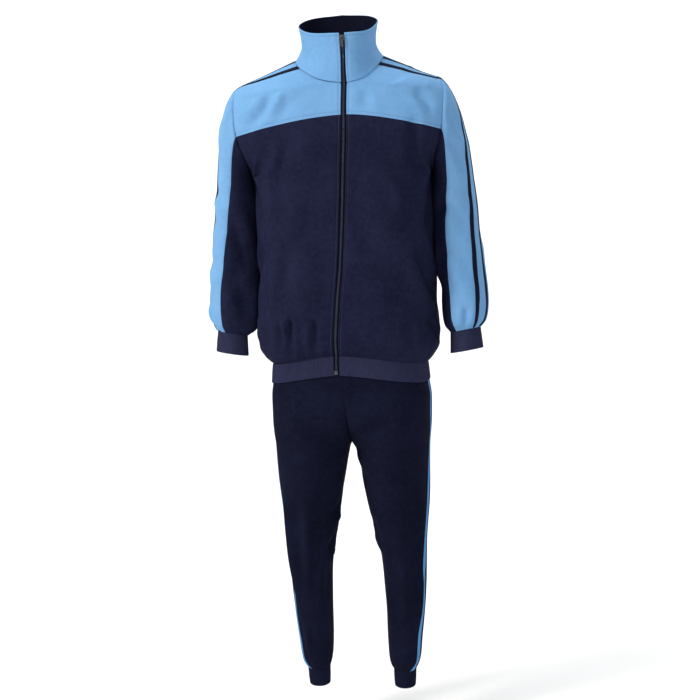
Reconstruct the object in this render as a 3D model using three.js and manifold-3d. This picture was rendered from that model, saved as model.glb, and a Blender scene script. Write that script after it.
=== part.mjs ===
// A worn tracksuit: a zipped jacket with a stand collar over a pair of trousers, each a hollow cloth wall.
// Millimetres, +Z up, the front faces -Y. The origin is level with the base of the neck, where the
// wearer's shoulders carry the jacket.
import * as THREE from "three";
import Module from "manifold-3d";

const wasm = await Module();
wasm.setup();

// Driving sizes

const SEAM = 0.3; // gap between two pieces at a seam
const JERSEY = 1.6; // wall of the body cloth
const RIB = 2.2; // wall of the rib knit
const LINING = 1.0; // wall of the collar's lining
const STRIPE = 0.6; // thickness of a stripe
const ZIP_HALF = 6.5; // from the zip's centre to a front's edge
const CHAIN_HALF = 1.6; // half the width of the zip's teeth
const TAPE_REACH = 8.5; // how far a tape runs in behind a front
const SLIDER_Z = 36; // height of the slider's centre, just under the collar's rim
const TAB_LENGTH = 20;
const NAVY = 0x222b45;
const BLUE = 0x8fbbdc;
const METAL = 0x6e6459;

// Tables: a row for each section

// Centre line of the jacket's front: the zip leans a little across the body
const FRONT_LINE = rows(["z", "y", "lean"], [
  [-712, -119.8, -17],
  [-664, -116.6, -16],
  [-650, -125, -15],
  [-620, -131, -14],
  [-540, -131, -7],
  [-460, -128, 2],
  [-380, -127, 8],
  [-310, -129, 13],
  [-240, -130, 17],
  [-185, -127, 20],
  [-129, -118, 21],
  [-95, -107, 21],
  [-61, -93, 21],
  [-30, -86, 20],
  [0, -84, 20],
  [46, -86, 19],
]);

// Jacket rows from the hem to the shoulder. Up to row 7 they end at the side seam, and from there on the
// armhole, at `arm` degrees round it from its top. From row 11 they start on the neckline, `neck`
// degrees round it from the front. `crest` is where the row starts to turn, `end` how far it has turned.
const BODY_ROWS = rows(
  ["row", "frontZ", "backZ", "backY", "crest", "side", "sideZ", "arm", "neck", "end"],
  [
    [0, -664, -712, 120, 40, 187, -694, 180, 0, 90],
    [1, -650, -696, 127, 42, 200, -677, 180, 0, 90],
    [2, -622, -664, 132, 45, 212, -645, 180, 0, 90],
    [3, -550, -580, 129, 45, 211, -562, 180, 0, 90],
    [4, -465, -480, 117, 45, 206, -470, 180, 0, 90],
    [5, -385, -390, 113, 45, 203, -386, 180, 0, 90],
    [6, -310, -305, 118, 48, 202, -316, 180, 0, 90],
    [7, -240, -235, 122, 50, 206, -256, 180, 0, 90],
    [8, -184, -190, 122, 50, 206, -256, 139, 0, 74],
    [9, -129, -150, 119, 50, 206, -256, 98, 0, 62],
    [10, -94, -70, 100, 45, 206, -256, 74, 0, 56],
    [11, -61, 14, 66, 40, 206, -256, 52, 3.7, 54],
    [12, -61, 14, 66, 40, 206, -256, 36, 38, 60],
    [13, -61, 14, 66, 40, 206, -256, 22, 62, 75],
    [14, -61, 14, 66, 40, 206, -256, 15, 70, 80],
    [15, -61, 14, 66, 40, 206, -256, 2, 83, 88],
    [16, -61, 14, 66, 40, 206, -256, -6, 91, 88],
    [17, -61, 14, 66, 40, 206, -256, -16, 103, 80],
  ],
);
// The back has fewer rows over the shoulder: from the yoke seam (9) to the shoulder seam (13)
const BACK_YOKE_ROWS = rows(["row", "backZ", "backY", "arm", "neck", "end"], [
  [7, -235, 122, 180, 180, 90],
  [8, -190, 122, 139, 180, 74],
  [9, -150, 119, 98, 180, 62],
  [10, -70, 100, 74, 180, 56],
  [11, 14, 66, 50, 180, 54],
  [12, 14, 66, 33, 141, 66],
  [13, 14, 66, 16, 103, 80],
]);

// The armhole, by degrees from its top through the front to the underarm, and how far the cut edges of
// body and sleeve face outwards there
const ARMHOLE = rows(["turn", "x", "facing"], [
  [-45, 236, 0.47],
  [0, 222, 0.54],
  [45, 236, 0.47],
  [95, 231, 0.1],
  [135, 214, -0.05],
  [180, 206, -0.1],
]);
const ARMHOLE_TOP = -50;
const ARMHOLE_FOOT = -256;
const ARMHOLE_DEPTH = 77; // half its depth from front to back

// The neckline, by degrees from the front
const NECKLINE = rows(["turn", "z"], [
  [0, -61],
  [30, -50],
  [60, -24],
  [90, -1],
  [135, 10],
  [180, 14],
]);
const NECK_SIDE = 100;
const NECK_BACK = 66;

// The collar: its half width and depths at each height, as shares of the neckline's, and its rim
const COLLAR = rows(["rise", "width", "back"], [
  [0, 1, 1],
  [0.18, 0.9, 0.93],
  [0.4, 0.845, 0.91],
  [0.7, 0.86, 0.96],
  [1, 0.91, 1.05],
]);
const COLLAR_RIM = rows(["turn", "z"], [
  [0, 46],
  [45, 52],
  [90, 76],
  [135, 95],
  [180, 102],
]);

// Sleeve sections: centre, half width, half depth, how far the section leans out, and how far the seams
// and stripes are turned round the arm
const SLEEVE_ROWS = rows(["z", "x", "y", "width", "depth", "tilt", "turn"], [
  [-275, 252, 1, 45, 62, 0, 8],
  [-320, 255.5, 3, 48, 60, 0.02, 14],
  [-365, 258, 4, 50.5, 58, 0.04, 18],
  [-410, 261, 4, 52.5, 57, 0.05, 22],
  [-480, 267.5, -2, 54.5, 55, 0.08, 25],
  [-540, 272.5, -12, 55.5, 54, 0.1, 27],
  [-580, 273.5, -20, 54, 51, 0.13, 27],
  [-606, 273.5, -25, 47, 46, 0.15, 27],
  [-618, 273.5, -27, 37, 36.5, 0.17, 27],
  [-622, 273.8, -28, 35, 34.5, 0.17, 27],
  [-645, 275, -31, 36.5, 35, 0.17, 27],
  [-668, 276, -33, 38, 35.5, 0.17, 27],
]);
const SLEEVE_FOOT = -620;
const CUFF_FOOT = -668;
// Edges of the two stripes, in degrees round the sleeve from its front, by share of the sleeve
const SLEEVE_STRIPES = rows(["share", "a", "b", "c", "d"], [
  [0, 68, 75, 88, 96],
  [0.25, 60, 70, 88, 98],
  [0.4, 54, 66, 87, 99],
  [1, 54, 66, 87, 99],
]);
const SLEEVE_SEAM_FRONT = -8;
const SLEEVE_SEAM_BACK = 188;

// Trouser sections: the side, the crest of the thigh, the inner edge, the depths to front and back, how
// far forward and back the inner edge lies, and the leg's centre from front to back
const TROUSER_ROWS = rows(
  ["z", "side", "crest", "inner", "front", "back", "innerFront", "innerBack", "y"],
  [
    [-545, 157, 30, 0, 102, 96, 102, 96, 0],
    [-585, 160, 30, 0, 105, 99, 105, 99, 0],
    [-640, 170, 34, 0, 110, 108, 110, 108, 0],
    [-700, 180, 42, 0, 115, 116, 115, 116, 0],
    [-738, 184, 50, 0, 117, 121, 117, 121, 0],
    [-778, 189, 60, 0, 118, 125, 116, 122, 0],
    [-830, 189, 77, 0.3, 113, 123, 92, 110, 0],
    [-865, 187, 88, 0.8, 107, 116, 50, 74, 0],
    [-884, 185, 93, 2, 102, 109, 14, 24, 0],
    [-904, 184, 96, 8, 98, 103, 0, 0, 0],
    [-988, 182, 102.5, 23, 88, 87, 0, 0, 0],
    [-1088, 175, 108.5, 42, 74, 71, 0, 0, -3],
    [-1190, 167, 113.5, 60, 62, 58, 0, 0, -4],
    [-1292, 163, 114.5, 66, 54, 56, 0, 0, 3],
    [-1397, 153, 110.5, 68, 47, 48, 0, 0, 8],
    [-1440, 148, 109.5, 71, 42, 44, 0, 0, 9],
    [-1462, 140, 108, 76, 33, 35, 0, 0, 9],
    [-1470, 136.5, 108, 79.5, 29.5, 30.5, 0, 0, 9],
    [-1492, 135, 107.5, 80, 28.5, 29.5, 0, 0, 9],
    [-1514, 133, 107, 81, 27, 28, 0, 0, 9],
  ],
);
const WAIST_Z = -545;
const WAIST_SEAM = -585;
const LEG_FOOT = -1468;
const ANKLE_FOOT = -1514;
const LEG_STRIPE_NEAR = 8; // from the side seam to a stripe's near edge
const LEG_STRIPE_WIDTH = 12;

// The hem band lies this far outside the trousers, measured to its outer face
const BAND_OUT = RIB + 1.9;
const BAND_HEIGHT = 45;

// Gathers: how many waves on each panel, their height, and over which rows they fade
const HEM_WAVES = 4;
const HEM_WAVE = 3;
const CUFF_WAVES = 7;
const CUFF_WAVE = 2.2;
const ANKLE_WAVE = 0.04; // as a share of the leg's radius
const HEM_GATHER = { grows: 0.9, fadesFrom: 1, fades: 1.6 }; // in rows of the jacket
const CUFF_GATHER = { from: -556, grows: 26, fadesFrom: -600, fades: 20 };
const ANKLE_GATHER = { from: -1405, grows: 25, fadesFrom: -1440, fades: 26 };

// The largest folds, as soft ridges (+) and troughs (-) between two points
const FOLD_COLUMNS = ["x1", "y1", "z1", "x2", "y2", "z2", "width", "height"];
const BODY_FOLDS = rows(FOLD_COLUMNS, [
  [196, -70, -285, 120, -118, -400, 24, -5],
  [-196, -70, -285, -110, -120, -430, 26, -5],
  [185, -75, -590, 90, -125, -600, 22, 5],
  [-185, -75, -585, -80, -127, -605, 22, 5],
  [190, 70, -290, 90, 110, -420, 26, -5],
  [-190, 70, -290, -90, 110, -400, 26, -5],
  [170, 80, -540, -150, 90, -520, 24, 5],
]);
const SLEEVE_FOLDS = rows(FOLD_COLUMNS, [
  [225, -50, -290, 285, -40, -340, 20, -4],
  [220, -45, -440, 300, -35, -410, 20, -4],
  [230, -55, -520, 310, -40, -545, 18, 4],
  [300, 30, -440, 240, 60, -400, 20, 4],
]);
const TROUSER_FOLDS = rows(FOLD_COLUMNS, [
  [60, -60, -1085, 120, -80, -1120, 22, -4],
  [-60, -60, -1080, -115, -80, -1110, 22, -4],
  [68, -35, -1180, 120, -62, -1200, 20, 4],
  [-68, -35, -1175, -120, -62, -1205, 20, 4],
  [30, -60, -920, 90, -95, -880, 26, -5],
  [-30, -60, -920, -90, -95, -880, 26, -5],
  [80, 55, -1180, 150, 50, -1160, 24, -4],
  [-80, 55, -1180, -150, 50, -1160, 24, -4],
]);

// Small helpers

function rows(names, values) {
  return values.map((value) => Object.fromEntries(names.map((name, i) => [name, value[i]])));
}

const sin = (degrees) => Math.sin(THREE.MathUtils.degToRad(degrees));
const cos = (degrees) => Math.cos(THREE.MathUtils.degToRad(degrees));
const mix = THREE.MathUtils.lerp;
const clamp = THREE.MathUtils.clamp;
const smooth = (t) => THREE.MathUtils.smoothstep(t, 0, 1);

// A smooth curve through one column of a table, whose first column is the key
function read(table, name, key) {
  const keyName = Object.keys(table[0])[0];
  const last = table.length - 1;
  const step = Math.sign(table[last][keyName] - table[0][keyName]);
  const k = (i) => table[i][keyName] * step;
  const v = (i) => table[i][name];
  const at = clamp(key * step, k(0), k(last));
  let i = 0;
  while (i < last - 1 && at > k(i + 1)) i += 1;
  const span = k(i + 1) - k(i);
  const t = (at - k(i)) / span;
  const slope = (j) => {
    const a = Math.max(j - 1, 0);
    const b = Math.min(j + 1, last);
    const isPeak = a < j && j < b && (v(j) - v(a)) * (v(b) - v(j)) <= 0;
    return isPeak ? 0 : (v(b) - v(a)) / (k(b) - k(a));
  };
  const t2 = t * t;
  const t3 = t2 * t;
  return (
    (2 * t3 - 3 * t2 + 1) * v(i) +
    (t3 - 2 * t2 + t) * span * slope(i) +
    (3 * t2 - 2 * t3) * v(i + 1) +
    (t3 - t2) * span * slope(i + 1)
  );
}

// A straight line through one column of a table
function readStraight(table, name, key) {
  const keyName = Object.keys(table[0])[0];
  let i = 0;
  while (i < table.length - 2 && key > table[i + 1][keyName]) i += 1;
  const t = (key - table[i][keyName]) / (table[i + 1][keyName] - table[i][keyName]);
  return mix(table[i][name], table[i + 1][name], clamp(t, 0, 1));
}

const NECK_ROW = 10.999; // from here on a row of the jacket starts on the neckline

// A quarter of a rounded rectangle, which starts level and has turned by `end` degrees at its far point
const ROUNDNESS = 2.35;
function quarter(turn, end, from, to) {
  const power = 2 / ROUNDNESS;
  const across = (sin(turn) / sin(end)) ** power;
  const least = Math.max(cos(end), 0) ** power;
  const along = (Math.max(cos(turn), 0) ** power - least) / (1 - least);
  return new THREE.Vector2(mix(from.x, to.x, across), mix(to.y, from.y, along));
}

// A curve in plan, read by its share of the way along it
const CURVE_STEPS = 36;
function evenly(pointAt) {
  const points = [];
  for (let i = 0; i <= CURVE_STEPS; i += 1) points.push(pointAt(i / CURVE_STEPS));
  const lengths = [0];
  for (let i = 1; i <= CURVE_STEPS; i += 1) {
    lengths.push(lengths[i - 1] + points[i].distanceTo(points[i - 1]));
  }
  const total = lengths[CURVE_STEPS];
  const at = (share) => {
    const target = clamp(share, 0, 1) * total;
    let i = 1;
    while (i < CURVE_STEPS && lengths[i] < target) i += 1;
    const t = (target - lengths[i - 1]) / (lengths[i] - lengths[i - 1]);
    return points[i - 1].clone().lerp(points[i], t);
  };
  return { at, total };
}

// Height of the folds at a point
function foldHeight(folds, point) {
  let height = 0;
  for (const fold of folds) {
    const from = new THREE.Vector3(fold.x1, fold.y1, fold.z1);
    const to = new THREE.Vector3(fold.x2, fold.y2, fold.z2);
    const along = to.clone().sub(from);
    const share = point.clone().sub(from).dot(along) / along.lengthSq();
    const nearest = from.addScaledVector(along, clamp(share, 0, 1));
    const away = nearest.distanceTo(point) / fold.width;
    height += fold.height * Math.exp(-away * away);
  }
  return height;
}

// The jacket's shapes

function fromTop(turn) {
  const wrapped = Math.abs(turn) % 360;
  return wrapped > 180 ? 360 - wrapped : wrapped;
}
function armhole(turn, side) {
  const z = mix(ARMHOLE_FOOT, ARMHOLE_TOP, (1 + cos(turn)) / 2);
  const x = read(ARMHOLE, "x", fromTop(turn));
  return new THREE.Vector3(side * x, -ARMHOLE_DEPTH * sin(turn), z);
}

// Which way the cut edge of both walls faces at the armhole
function armholeFacing(turn, side) {
  const out = read(ARMHOLE, "facing", fromTop(turn));
  return new THREE.Vector3(side * out, -sin(turn), cos(turn)).normalize();
}

const NECK_FRONT_Z = NECKLINE[0].z;
const NECK_LEAN = read(FRONT_LINE, "lean", NECK_FRONT_Z);
function neckline(turn, side) {
  const front = Math.max(cos(turn), 0);
  const lean = NECK_LEAN * front * front;
  const y = turn < 90 ? read(FRONT_LINE, "y", NECK_FRONT_Z) * cos(turn) : -NECK_BACK * cos(turn);
  return new THREE.Vector3(side * NECK_SIDE * sin(turn) + lean, y, read(NECKLINE, "z", turn));
}

// One row of a jacket half in plan, from its inner edge to its outer edge
function bodyRow(row, side, isBack) {
  const table = isBack && row > 7 ? BACK_YOKE_ROWS : BODY_ROWS;
  let inner;
  if (row > NECK_ROW) inner = neckline(readStraight(table, "neck", row), side);
  else if (isBack) inner = new THREE.Vector3(0, read(table, "backY", row), read(table, "backZ", row));
  else {
    const z = read(BODY_ROWS, "frontZ", row);
    inner = new THREE.Vector3(read(FRONT_LINE, "lean", z) + side * ZIP_HALF, read(FRONT_LINE, "y", z), z);
  }
  const z = read(BODY_ROWS, "sideZ", row);
  let outer = new THREE.Vector3(side * read(BODY_ROWS, "side", row), 0, z);
  if (row > 7) outer = armhole((isBack ? -1 : 1) * readStraight(table, "arm", row), side);
  const end = row > 7 ? read(table, "end", row) : 90;
  const reach = Math.abs(outer.x - inner.x);
  const crest = row > NECK_ROW ? 0.12 * reach : Math.min(read(BODY_ROWS, "crest", row), 0.4 * reach);
  const turnAt = new THREE.Vector2(inner.x + side * crest, inner.y);
  const from = new THREE.Vector2(inner.x, inner.y);
  const to = new THREE.Vector2(outer.x, outer.y);
  const straight = crest / reach;
  const curve = evenly((t) => {
    if (t < straight) return from.clone().lerp(turnAt, t / straight);
    return quarter(((t - straight) / (1 - straight)) * end, end, turnAt, to);
  });
  return { inner, outer, curve };
}

// Rows sag towards their outer end, until they come near the neck
const ROW_SAG = 1.5;
const SAG_ENDS = { from: 10.3, over: 1.4 };

// A point of the jacket's body: `share` runs from the zip or centre back to the side, `row` up it
function bodyPoint(share, row, side, isBack) {
  const { inner, outer, curve } = bodyRow(row, side, isBack);
  const flat = curve.at(share);
  const across = clamp((flat.x - inner.x) / (outer.x - inner.x), 0, 1);
  const sag = mix(ROW_SAG, 1, smooth((row - SAG_ENDS.from) / SAG_ENDS.over));
  const z = mix(inner.z, outer.z, across ** sag);
  const wave = HEM_WAVE * Math.cos(2 * Math.PI * HEM_WAVES * share) * gatherFade(row);
  const size = Math.hypot(flat.x, flat.y);
  const point = new THREE.Vector3(flat.x * (1 + wave / size), flat.y * (1 + wave / size), z);
  return row < 1 ? bandPoint(share, 0, side, isBack).lerp(point, row) : point;
}
function gatherFade(row) {
  return smooth(row / HEM_GATHER.grows) * (1 - smooth((row - HEM_GATHER.fadesFrom) / HEM_GATHER.fades));
}
function gatherAt(z, { from, grows, fadesFrom, fades }) {
  return smooth((from - z) / grows) * (1 - smooth((fadesFrom - z) / fades));
}

// The trousers' section: `turn` is -90 at the inner front, 90 at the side seam and 270 at the inner back
function trouserPoint(turn, z, side, out = 0, isBack = turn > 90) {
  const value = (name) => read(TROUSER_ROWS, name, z);
  const isFront = !isBack;
  const depth = value(isFront ? "front" : "back") + out;
  const innerY = value(isFront ? "innerFront" : "innerBack") + out;
  const isOuter = turn >= 0 && turn <= 180;
  const edge = isOuter ? value("side") + out : value("inner");
  const power = 2 / (isOuter ? mix(ROUNDNESS, 2, smooth((-z - 850) / 150)) : 2);
  const across = Math.abs(sin(turn)) ** power;
  const along = Math.max(Math.abs(cos(turn)), 0) ** power;
  const x = mix(value("crest"), edge, across);
  const least = isOuter ? 0 : Math.min(innerY, depth);
  const y = mix(least, depth, along) * (isFront ? -1 : 1);
  return new THREE.Vector3(side * x, y + value("y"), z);
}

// One half row of a leg panel, read by its share from the inner seam to the side seam
function legCurve(z, side, isBack) {
  const [start, finish] = isBack ? [270, 90] : [-90, 90];
  return evenly((t) => {
    const point = trouserPoint(mix(start, finish, t), z, side, 0, isBack);
    return new THREE.Vector2(point.x, point.y);
  });
}
function legPoint(share, z, side, isBack) {
  const flat = legCurve(z, side, isBack).at(share);
  const centre = new THREE.Vector2(side * read(TROUSER_ROWS, "crest", z), read(TROUSER_ROWS, "y", z));
  const wave = 1 + ANKLE_WAVE * gatherAt(z, ANKLE_GATHER) * Math.cos(Math.PI * CUFF_WAVES * share);
  flat.sub(centre).multiplyScalar(wave).add(centre);
  return new THREE.Vector3(flat.x, flat.y, z);
}

// The hem band's outer face, on the trousers' form: `share` runs from the zip or centre back to the side
function bandPoint(share, drop, side, isBack) {
  const row = BODY_ROWS[0];
  const start = isBack ? 0 : side * read(FRONT_LINE, "lean", row.frontZ) + ZIP_HALF;
  const centreZ = isBack ? row.backZ : row.frontZ;
  const [first, last] = isBack ? [270, 90] : [-90, 90];
  const hips = (z) =>
    evenly((t) => {
      const point = trouserPoint(mix(first, last, t), z, 1, BAND_OUT, isBack);
      return new THREE.Vector2(point.x, point.y);
    });
  const along = (curve) => {
    const length = start + share * (curve.total - start);
    const flat = curve.at(Math.max(length, 0) / curve.total);
    flat.x += Math.min(length, 0);
    return flat;
  };
  const level = hips(row.sideZ);
  const across = clamp((along(level).x - start) / (level.at(1).x - start), 0, 1);
  const z = mix(centreZ, row.sideZ, across ** ROW_SAG) - drop * BAND_HEIGHT;
  const flat = along(hips(z));
  return new THREE.Vector3(side * flat.x, flat.y, z);
}

// A sleeve's section by height, then its patch from the armhole to the first section
function sleeveRing(turn, z, side) {
  const value = (name) => read(SLEEVE_ROWS, name, z);
  const angle = turn - side * value("turn");
  const width = value("width");
  const depth = value("depth");
  const height = (CUFF_WAVE / width) * gatherAt(z, CUFF_GATHER);
  const wave = 1 + height * Math.cos(2 * Math.PI * CUFF_WAVES * (turn / 360));
  const dx = width * sin(angle) * wave;
  const dy = -depth * cos(angle) * wave;
  const rise = value("tilt") * (dx - 0.7 * dy);
  return new THREE.Vector3(side * (value("x") + dx), value("y") + dy, z + rise);
}
const CAP_SHARE = 0.34; // share of the sleeve's rows between the armhole and the first section
const CAP_FOOT = -275;
function sleevePoint(turn, share, side) {
  if (share >= CAP_SHARE) {
    const down = (share - CAP_SHARE) / (1 - CAP_SHARE);
    return sleeveRing(turn, mix(CAP_FOOT, SLEEVE_FOOT, down), side);
  }
  const t = share / CAP_SHARE;
  const round = 90 - turn;
  const from = armhole(round, side);
  from.x += side * SEAM * 1.3;
  const to = sleeveRing(turn, CAP_FOOT, side);
  const apart = from.distanceTo(to);
  const top = cos(round);
  const start = new THREE.Vector3(side * (0.57 + 0.37 * top), -0.42 * sin(round), -0.66 + 0.32 * top);
  start.normalize().multiplyScalar(apart * 0.55);
  const finish = new THREE.Vector3(side * 0.07, 0, -1).multiplyScalar(apart * 0.95);
  const t2 = t * t;
  const t3 = t2 * t;
  return from
    .multiplyScalar(2 * t3 - 3 * t2 + 1)
    .addScaledVector(start, t3 - 2 * t2 + t)
    .addScaledVector(to, 3 * t2 - 2 * t3)
    .addScaledVector(finish, t3 - t2);
}

// The collar: `turn` runs from 0 at the front through 180 at the back to 360
function collarPoint(turn, rise) {
  const side = turn <= 180 ? 1 : -1;
  const round = turn <= 180 ? turn : 360 - turn;
  const base = neckline(round, side);
  const z = mix(base.z, read(COLLAR_RIM, "z", round), rise);
  const front = Math.max(cos(round), 0);
  const lean = read(FRONT_LINE, "lean", z) * front * front;
  const x = (base.x - NECK_LEAN * front * front) * read(COLLAR, "width", rise);
  const frontY = read(FRONT_LINE, "y", mix(NECK_FRONT_Z, COLLAR_RIM[0].z, rise)) * cos(round);
  const y = round < 90 ? frontY : base.y * read(COLLAR, "back", rise);
  return new THREE.Vector3(x + lean, y, z);
}

// Cloth walls

// Builds one closed wall from patches of points on its outer face. A patch has `at(u, v)`, its numbers of
// cells, `sign` for the side that its face looks to, which of its edges are seams, and, where two walls
// meet at an angle, `facing(u, v)` for the direction of its cut edge.
const NUDGE = 1e-4;
const SAME_POINT = 0.05; // corners of two patches this close are one corner
class Wall {
  constructor(thick, folds = [], out = 0) {
    this.thick = thick;
    this.folds = folds;
    this.out = out;
    this.outer = [];
    this.inner = [];
    this.quads = [];
  }

  // `columns` and `levels` are the shares at which the grid's lines lie
  patch({ at, columns, levels, sign, seams = [true, true, true, true], facing }) {
    const slopes = (u, v) => {
      const u0 = Math.max(u - NUDGE, 0);
      const u1 = Math.min(u + NUDGE, 1);
      const v0 = Math.max(v - NUDGE, 0);
      const v1 = Math.min(v + NUDGE, 1);
      return [at(u1, v).sub(at(u0, v)).normalize(), at(u, v1).sub(at(u, v0)).normalize()];
    };
    const corner = (i, j) => {
      const u = columns[i];
      const v = levels[j];
      const [alongU, alongV] = slopes(u, v);
      const face = alongU.clone().cross(alongV).multiplyScalar(sign).normalize();
      const point = at(u, v);
      const inset = SEAM / 2;
      if (i === 0 && seams[0]) point.addScaledVector(alongU, inset);
      if (i === columns.length - 1 && seams[1]) point.addScaledVector(alongU, -inset);
      if (j === 0 && seams[2]) point.addScaledVector(alongV, inset);
      if (j === levels.length - 1 && seams[3]) point.addScaledVector(alongV, -inset);
      point.addScaledVector(face, this.out + foldHeight(this.folds, point));
      const into = (facing && facing(u, v)) || face;
      return this.vertex(point, into);
    };
    const grid = levels.map((_, j) => columns.map((__, i) => corner(i, j)));
    for (let j = 0; j < levels.length - 1; j += 1) {
      for (let i = 0; i < columns.length - 1; i += 1) {
        const quad = [grid[j][i], grid[j][i + 1], grid[j + 1][i + 1], grid[j + 1][i]];
        this.quads.push(sign > 0 ? quad : quad.reverse());
      }
    }
    return this;
  }

  vertex(point, into) {
    const known = this.outer.findIndex((other) => other.distanceTo(point) < SAME_POINT);
    if (known >= 0) return known;
    this.outer.push(point);
    this.inner.push(point.clone().addScaledVector(into, -this.thick));
    return this.outer.length - 1;
  }

  mesh(name, color) {
    const count = this.outer.length;
    const faces = [];
    const edges = new Map();
    for (const [a, b, c, d] of this.quads) {
      faces.push([a, b, c], [a, c, d]);
      faces.push([a + count, c + count, b + count], [a + count, d + count, c + count]);
      for (const [from, to] of [[a, b], [b, c], [c, d], [d, a]]) {
        if (edges.has(to + "-" + from)) edges.delete(to + "-" + from);
        else edges.set(from + "-" + to, [from, to]);
      }
    }
    for (const [from, to] of edges.values()) {
      faces.push([to, from, from + count], [to, from + count, to + count]);
    }
    return meshOf(name, color, [...this.outer, ...this.inner], faces);
  }
}

function meshOf(name, color, points, faces) {
  const geometry = new THREE.BufferGeometry();
  geometry.setAttribute(
    "position",
    new THREE.Float32BufferAttribute(points.flatMap((p) => [p.x, p.y, p.z]), 3),
  );
  geometry.setIndex(faces.flat());
  geometry.computeVertexNormals();
  const material = new THREE.MeshStandardMaterial({
    color,
    roughness: color === METAL ? 0.4 : 0.9,
    metalness: color === METAL ? 0.8 : 0,
  });
  const mesh = new THREE.Mesh(geometry, material);
  mesh.name = name;
  return mesh;
}

const even = (cells, from = 0, to = 1) =>
  Array.from({ length: cells + 1 }, (_, i) => mix(from, to, i / cells));
const OPEN = [false, false, false, false];

const suit = new THREE.Group();
const sideName = (side) => (side > 0 ? "left" : "right"); // the wearer's left is at +X

// Jacket body

const BODY_COLUMNS = 12;
const BODY_LEVELS = [0, 0.5, 1, 1.6, 2.3, 3, 4, 5, 6, 7, 7.5, 8, 8.5, 9];
const YOKE_LEVELS = [9, 10, 11, 11.5, 12, 12.5, 13, 14, 15, 16, 17];
const BACK_YOKE_LEVELS = [9, 10, 11, 11.5, 12, 12.5, 13];

// A patch of the body between two rows of the table
function bodyPatch(side, isBack, levels, seams, cells) {
  const first = levels[0];
  const span = levels[levels.length - 1] - first;
  const table = isBack ? BACK_YOKE_ROWS : BODY_ROWS;
  const lastRow = isBack ? 13 : 17;
  const facing = (u, v) => {
    const row = first + v * span;
    const round = (isBack ? -1 : 1) * readStraight(table, "arm", row);
    if (u > 0.9999 && row > 6.9999) return armholeFacing(round, side);
    if (row < 0.0001) return bodyPoint(u, row, side, isBack).setZ(0).normalize();
    if (row > lastRow - 0.0001) return new THREE.Vector3(0.3 * side, 0.3, 0.9).normalize();
    return null;
  };
  return {
    at: (u, v) => bodyPoint(u, first + v * span, side, isBack),
    columns: even(cells),
    levels: levels.map((row) => (row - first) / span),
    sign: isBack ? -side : side,
    seams,
    facing,
  };
}

for (const side of [1, -1]) {
  const front = new Wall(JERSEY, BODY_FOLDS);
  front.patch(bodyPatch(side, false, BODY_LEVELS, [false, true, true, true], BODY_COLUMNS));
  suit.add(front.mesh("front_" + sideName(side), NAVY));
  const yoke = new Wall(JERSEY, BODY_FOLDS);
  yoke.patch(bodyPatch(side, false, YOKE_LEVELS, [false, false, true, true], 7));
  suit.add(yoke.mesh("yoke_front_" + sideName(side), BLUE));
}
const back = new Wall(JERSEY, BODY_FOLDS);
const backYoke = new Wall(JERSEY, BODY_FOLDS);
for (const side of [1, -1]) {
  back.patch(bodyPatch(side, true, BODY_LEVELS, [false, true, true, true], BODY_COLUMNS));
  backYoke.patch(bodyPatch(side, true, BACK_YOKE_LEVELS, [false, false, true, true], 7));
}
suit.add(back.mesh("back", NAVY), backYoke.mesh("yoke_back", BLUE));

// The stripes over the shoulder lie on the front yoke, between the rows that mark their edges
const SHOULDER_STRIPES = { front: [13, 14], back: [15, 16] };
for (const side of [1, -1]) {
  for (const [name, levels] of Object.entries(SHOULDER_STRIPES)) {
    const stripe = new Wall(STRIPE, BODY_FOLDS, SEAM + STRIPE);
    const patch = bodyPatch(side, false, levels, OPEN, 7);
    stripe.patch({ ...patch, facing: undefined });
    suit.add(stripe.mesh(`shoulder_stripe_${name}_${sideName(side)}`, NAVY));
  }
}

// Sleeves

const SLEEVE_LEVELS = [
  ...even(5, 0, CAP_SHARE),
  ...[0.42, 0.51, 0.6, 0.69, 0.78, 0.86, 0.92, 0.96, 0.985, 1],
];
// At the armhole the upper sleeve's grid lines meet the corners of the yokes
const frontLine = (row) => 90 - readStraight(BODY_ROWS, "arm", row);
const backLine = (row) => 90 + readStraight(BACK_YOKE_ROWS, "arm", row);
const ARMHOLE_LINES = [
  ...YOKE_LEVELS.map(frontLine),
  ...[...BACK_YOKE_LEVELS].reverse().slice(1).map(backLine),
];
const UPPER_CELLS = ARMHOLE_LINES.length - 1;
const UPPER_FRONT_CELLS = 6;

// Angles of the upper sleeve's grid lines, with a line on each edge of each stripe
function upperAngle(index, share) {
  const edges = ["a", "b", "c", "d"].map((name) => read(SLEEVE_STRIPES, name, share));
  const after = index - UPPER_FRONT_CELLS;
  let angle = edges[after];
  if (after < 0) angle = mix(SLEEVE_SEAM_FRONT, edges[0], index / UPPER_FRONT_CELLS);
  if (after > 3) angle = mix(edges[3], SLEEVE_SEAM_BACK, (after - 3) / (UPPER_CELLS - UPPER_FRONT_CELLS - 3));
  return mix(ARMHOLE_LINES[index], angle, smooth(share / CAP_SHARE));
}
const UNDER_CELLS = 8;

// A sleeve patch whose grid lines follow `angle(column, share)`
function sleevePatch(side, angle, cells, seams) {
  const line = (u, v) => {
    const index = Math.min(Math.floor(u * cells), cells - 1);
    return mix(angle(index, v), angle(index + 1, v), u * cells - index);
  };
  return {
    at: (u, v) => sleevePoint(line(u, v), v, side),
    columns: even(cells),
    levels: SLEEVE_LEVELS,
    sign: -side,
    seams,
    facing: (u, v) => (v < 1e-6 ? armholeFacing(90 - line(u, v), side) : null),
  };
}

const mirrored = (folds, side) => folds.map((f) => ({ ...f, x1: side * f.x1, x2: side * f.x2 }));

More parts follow.
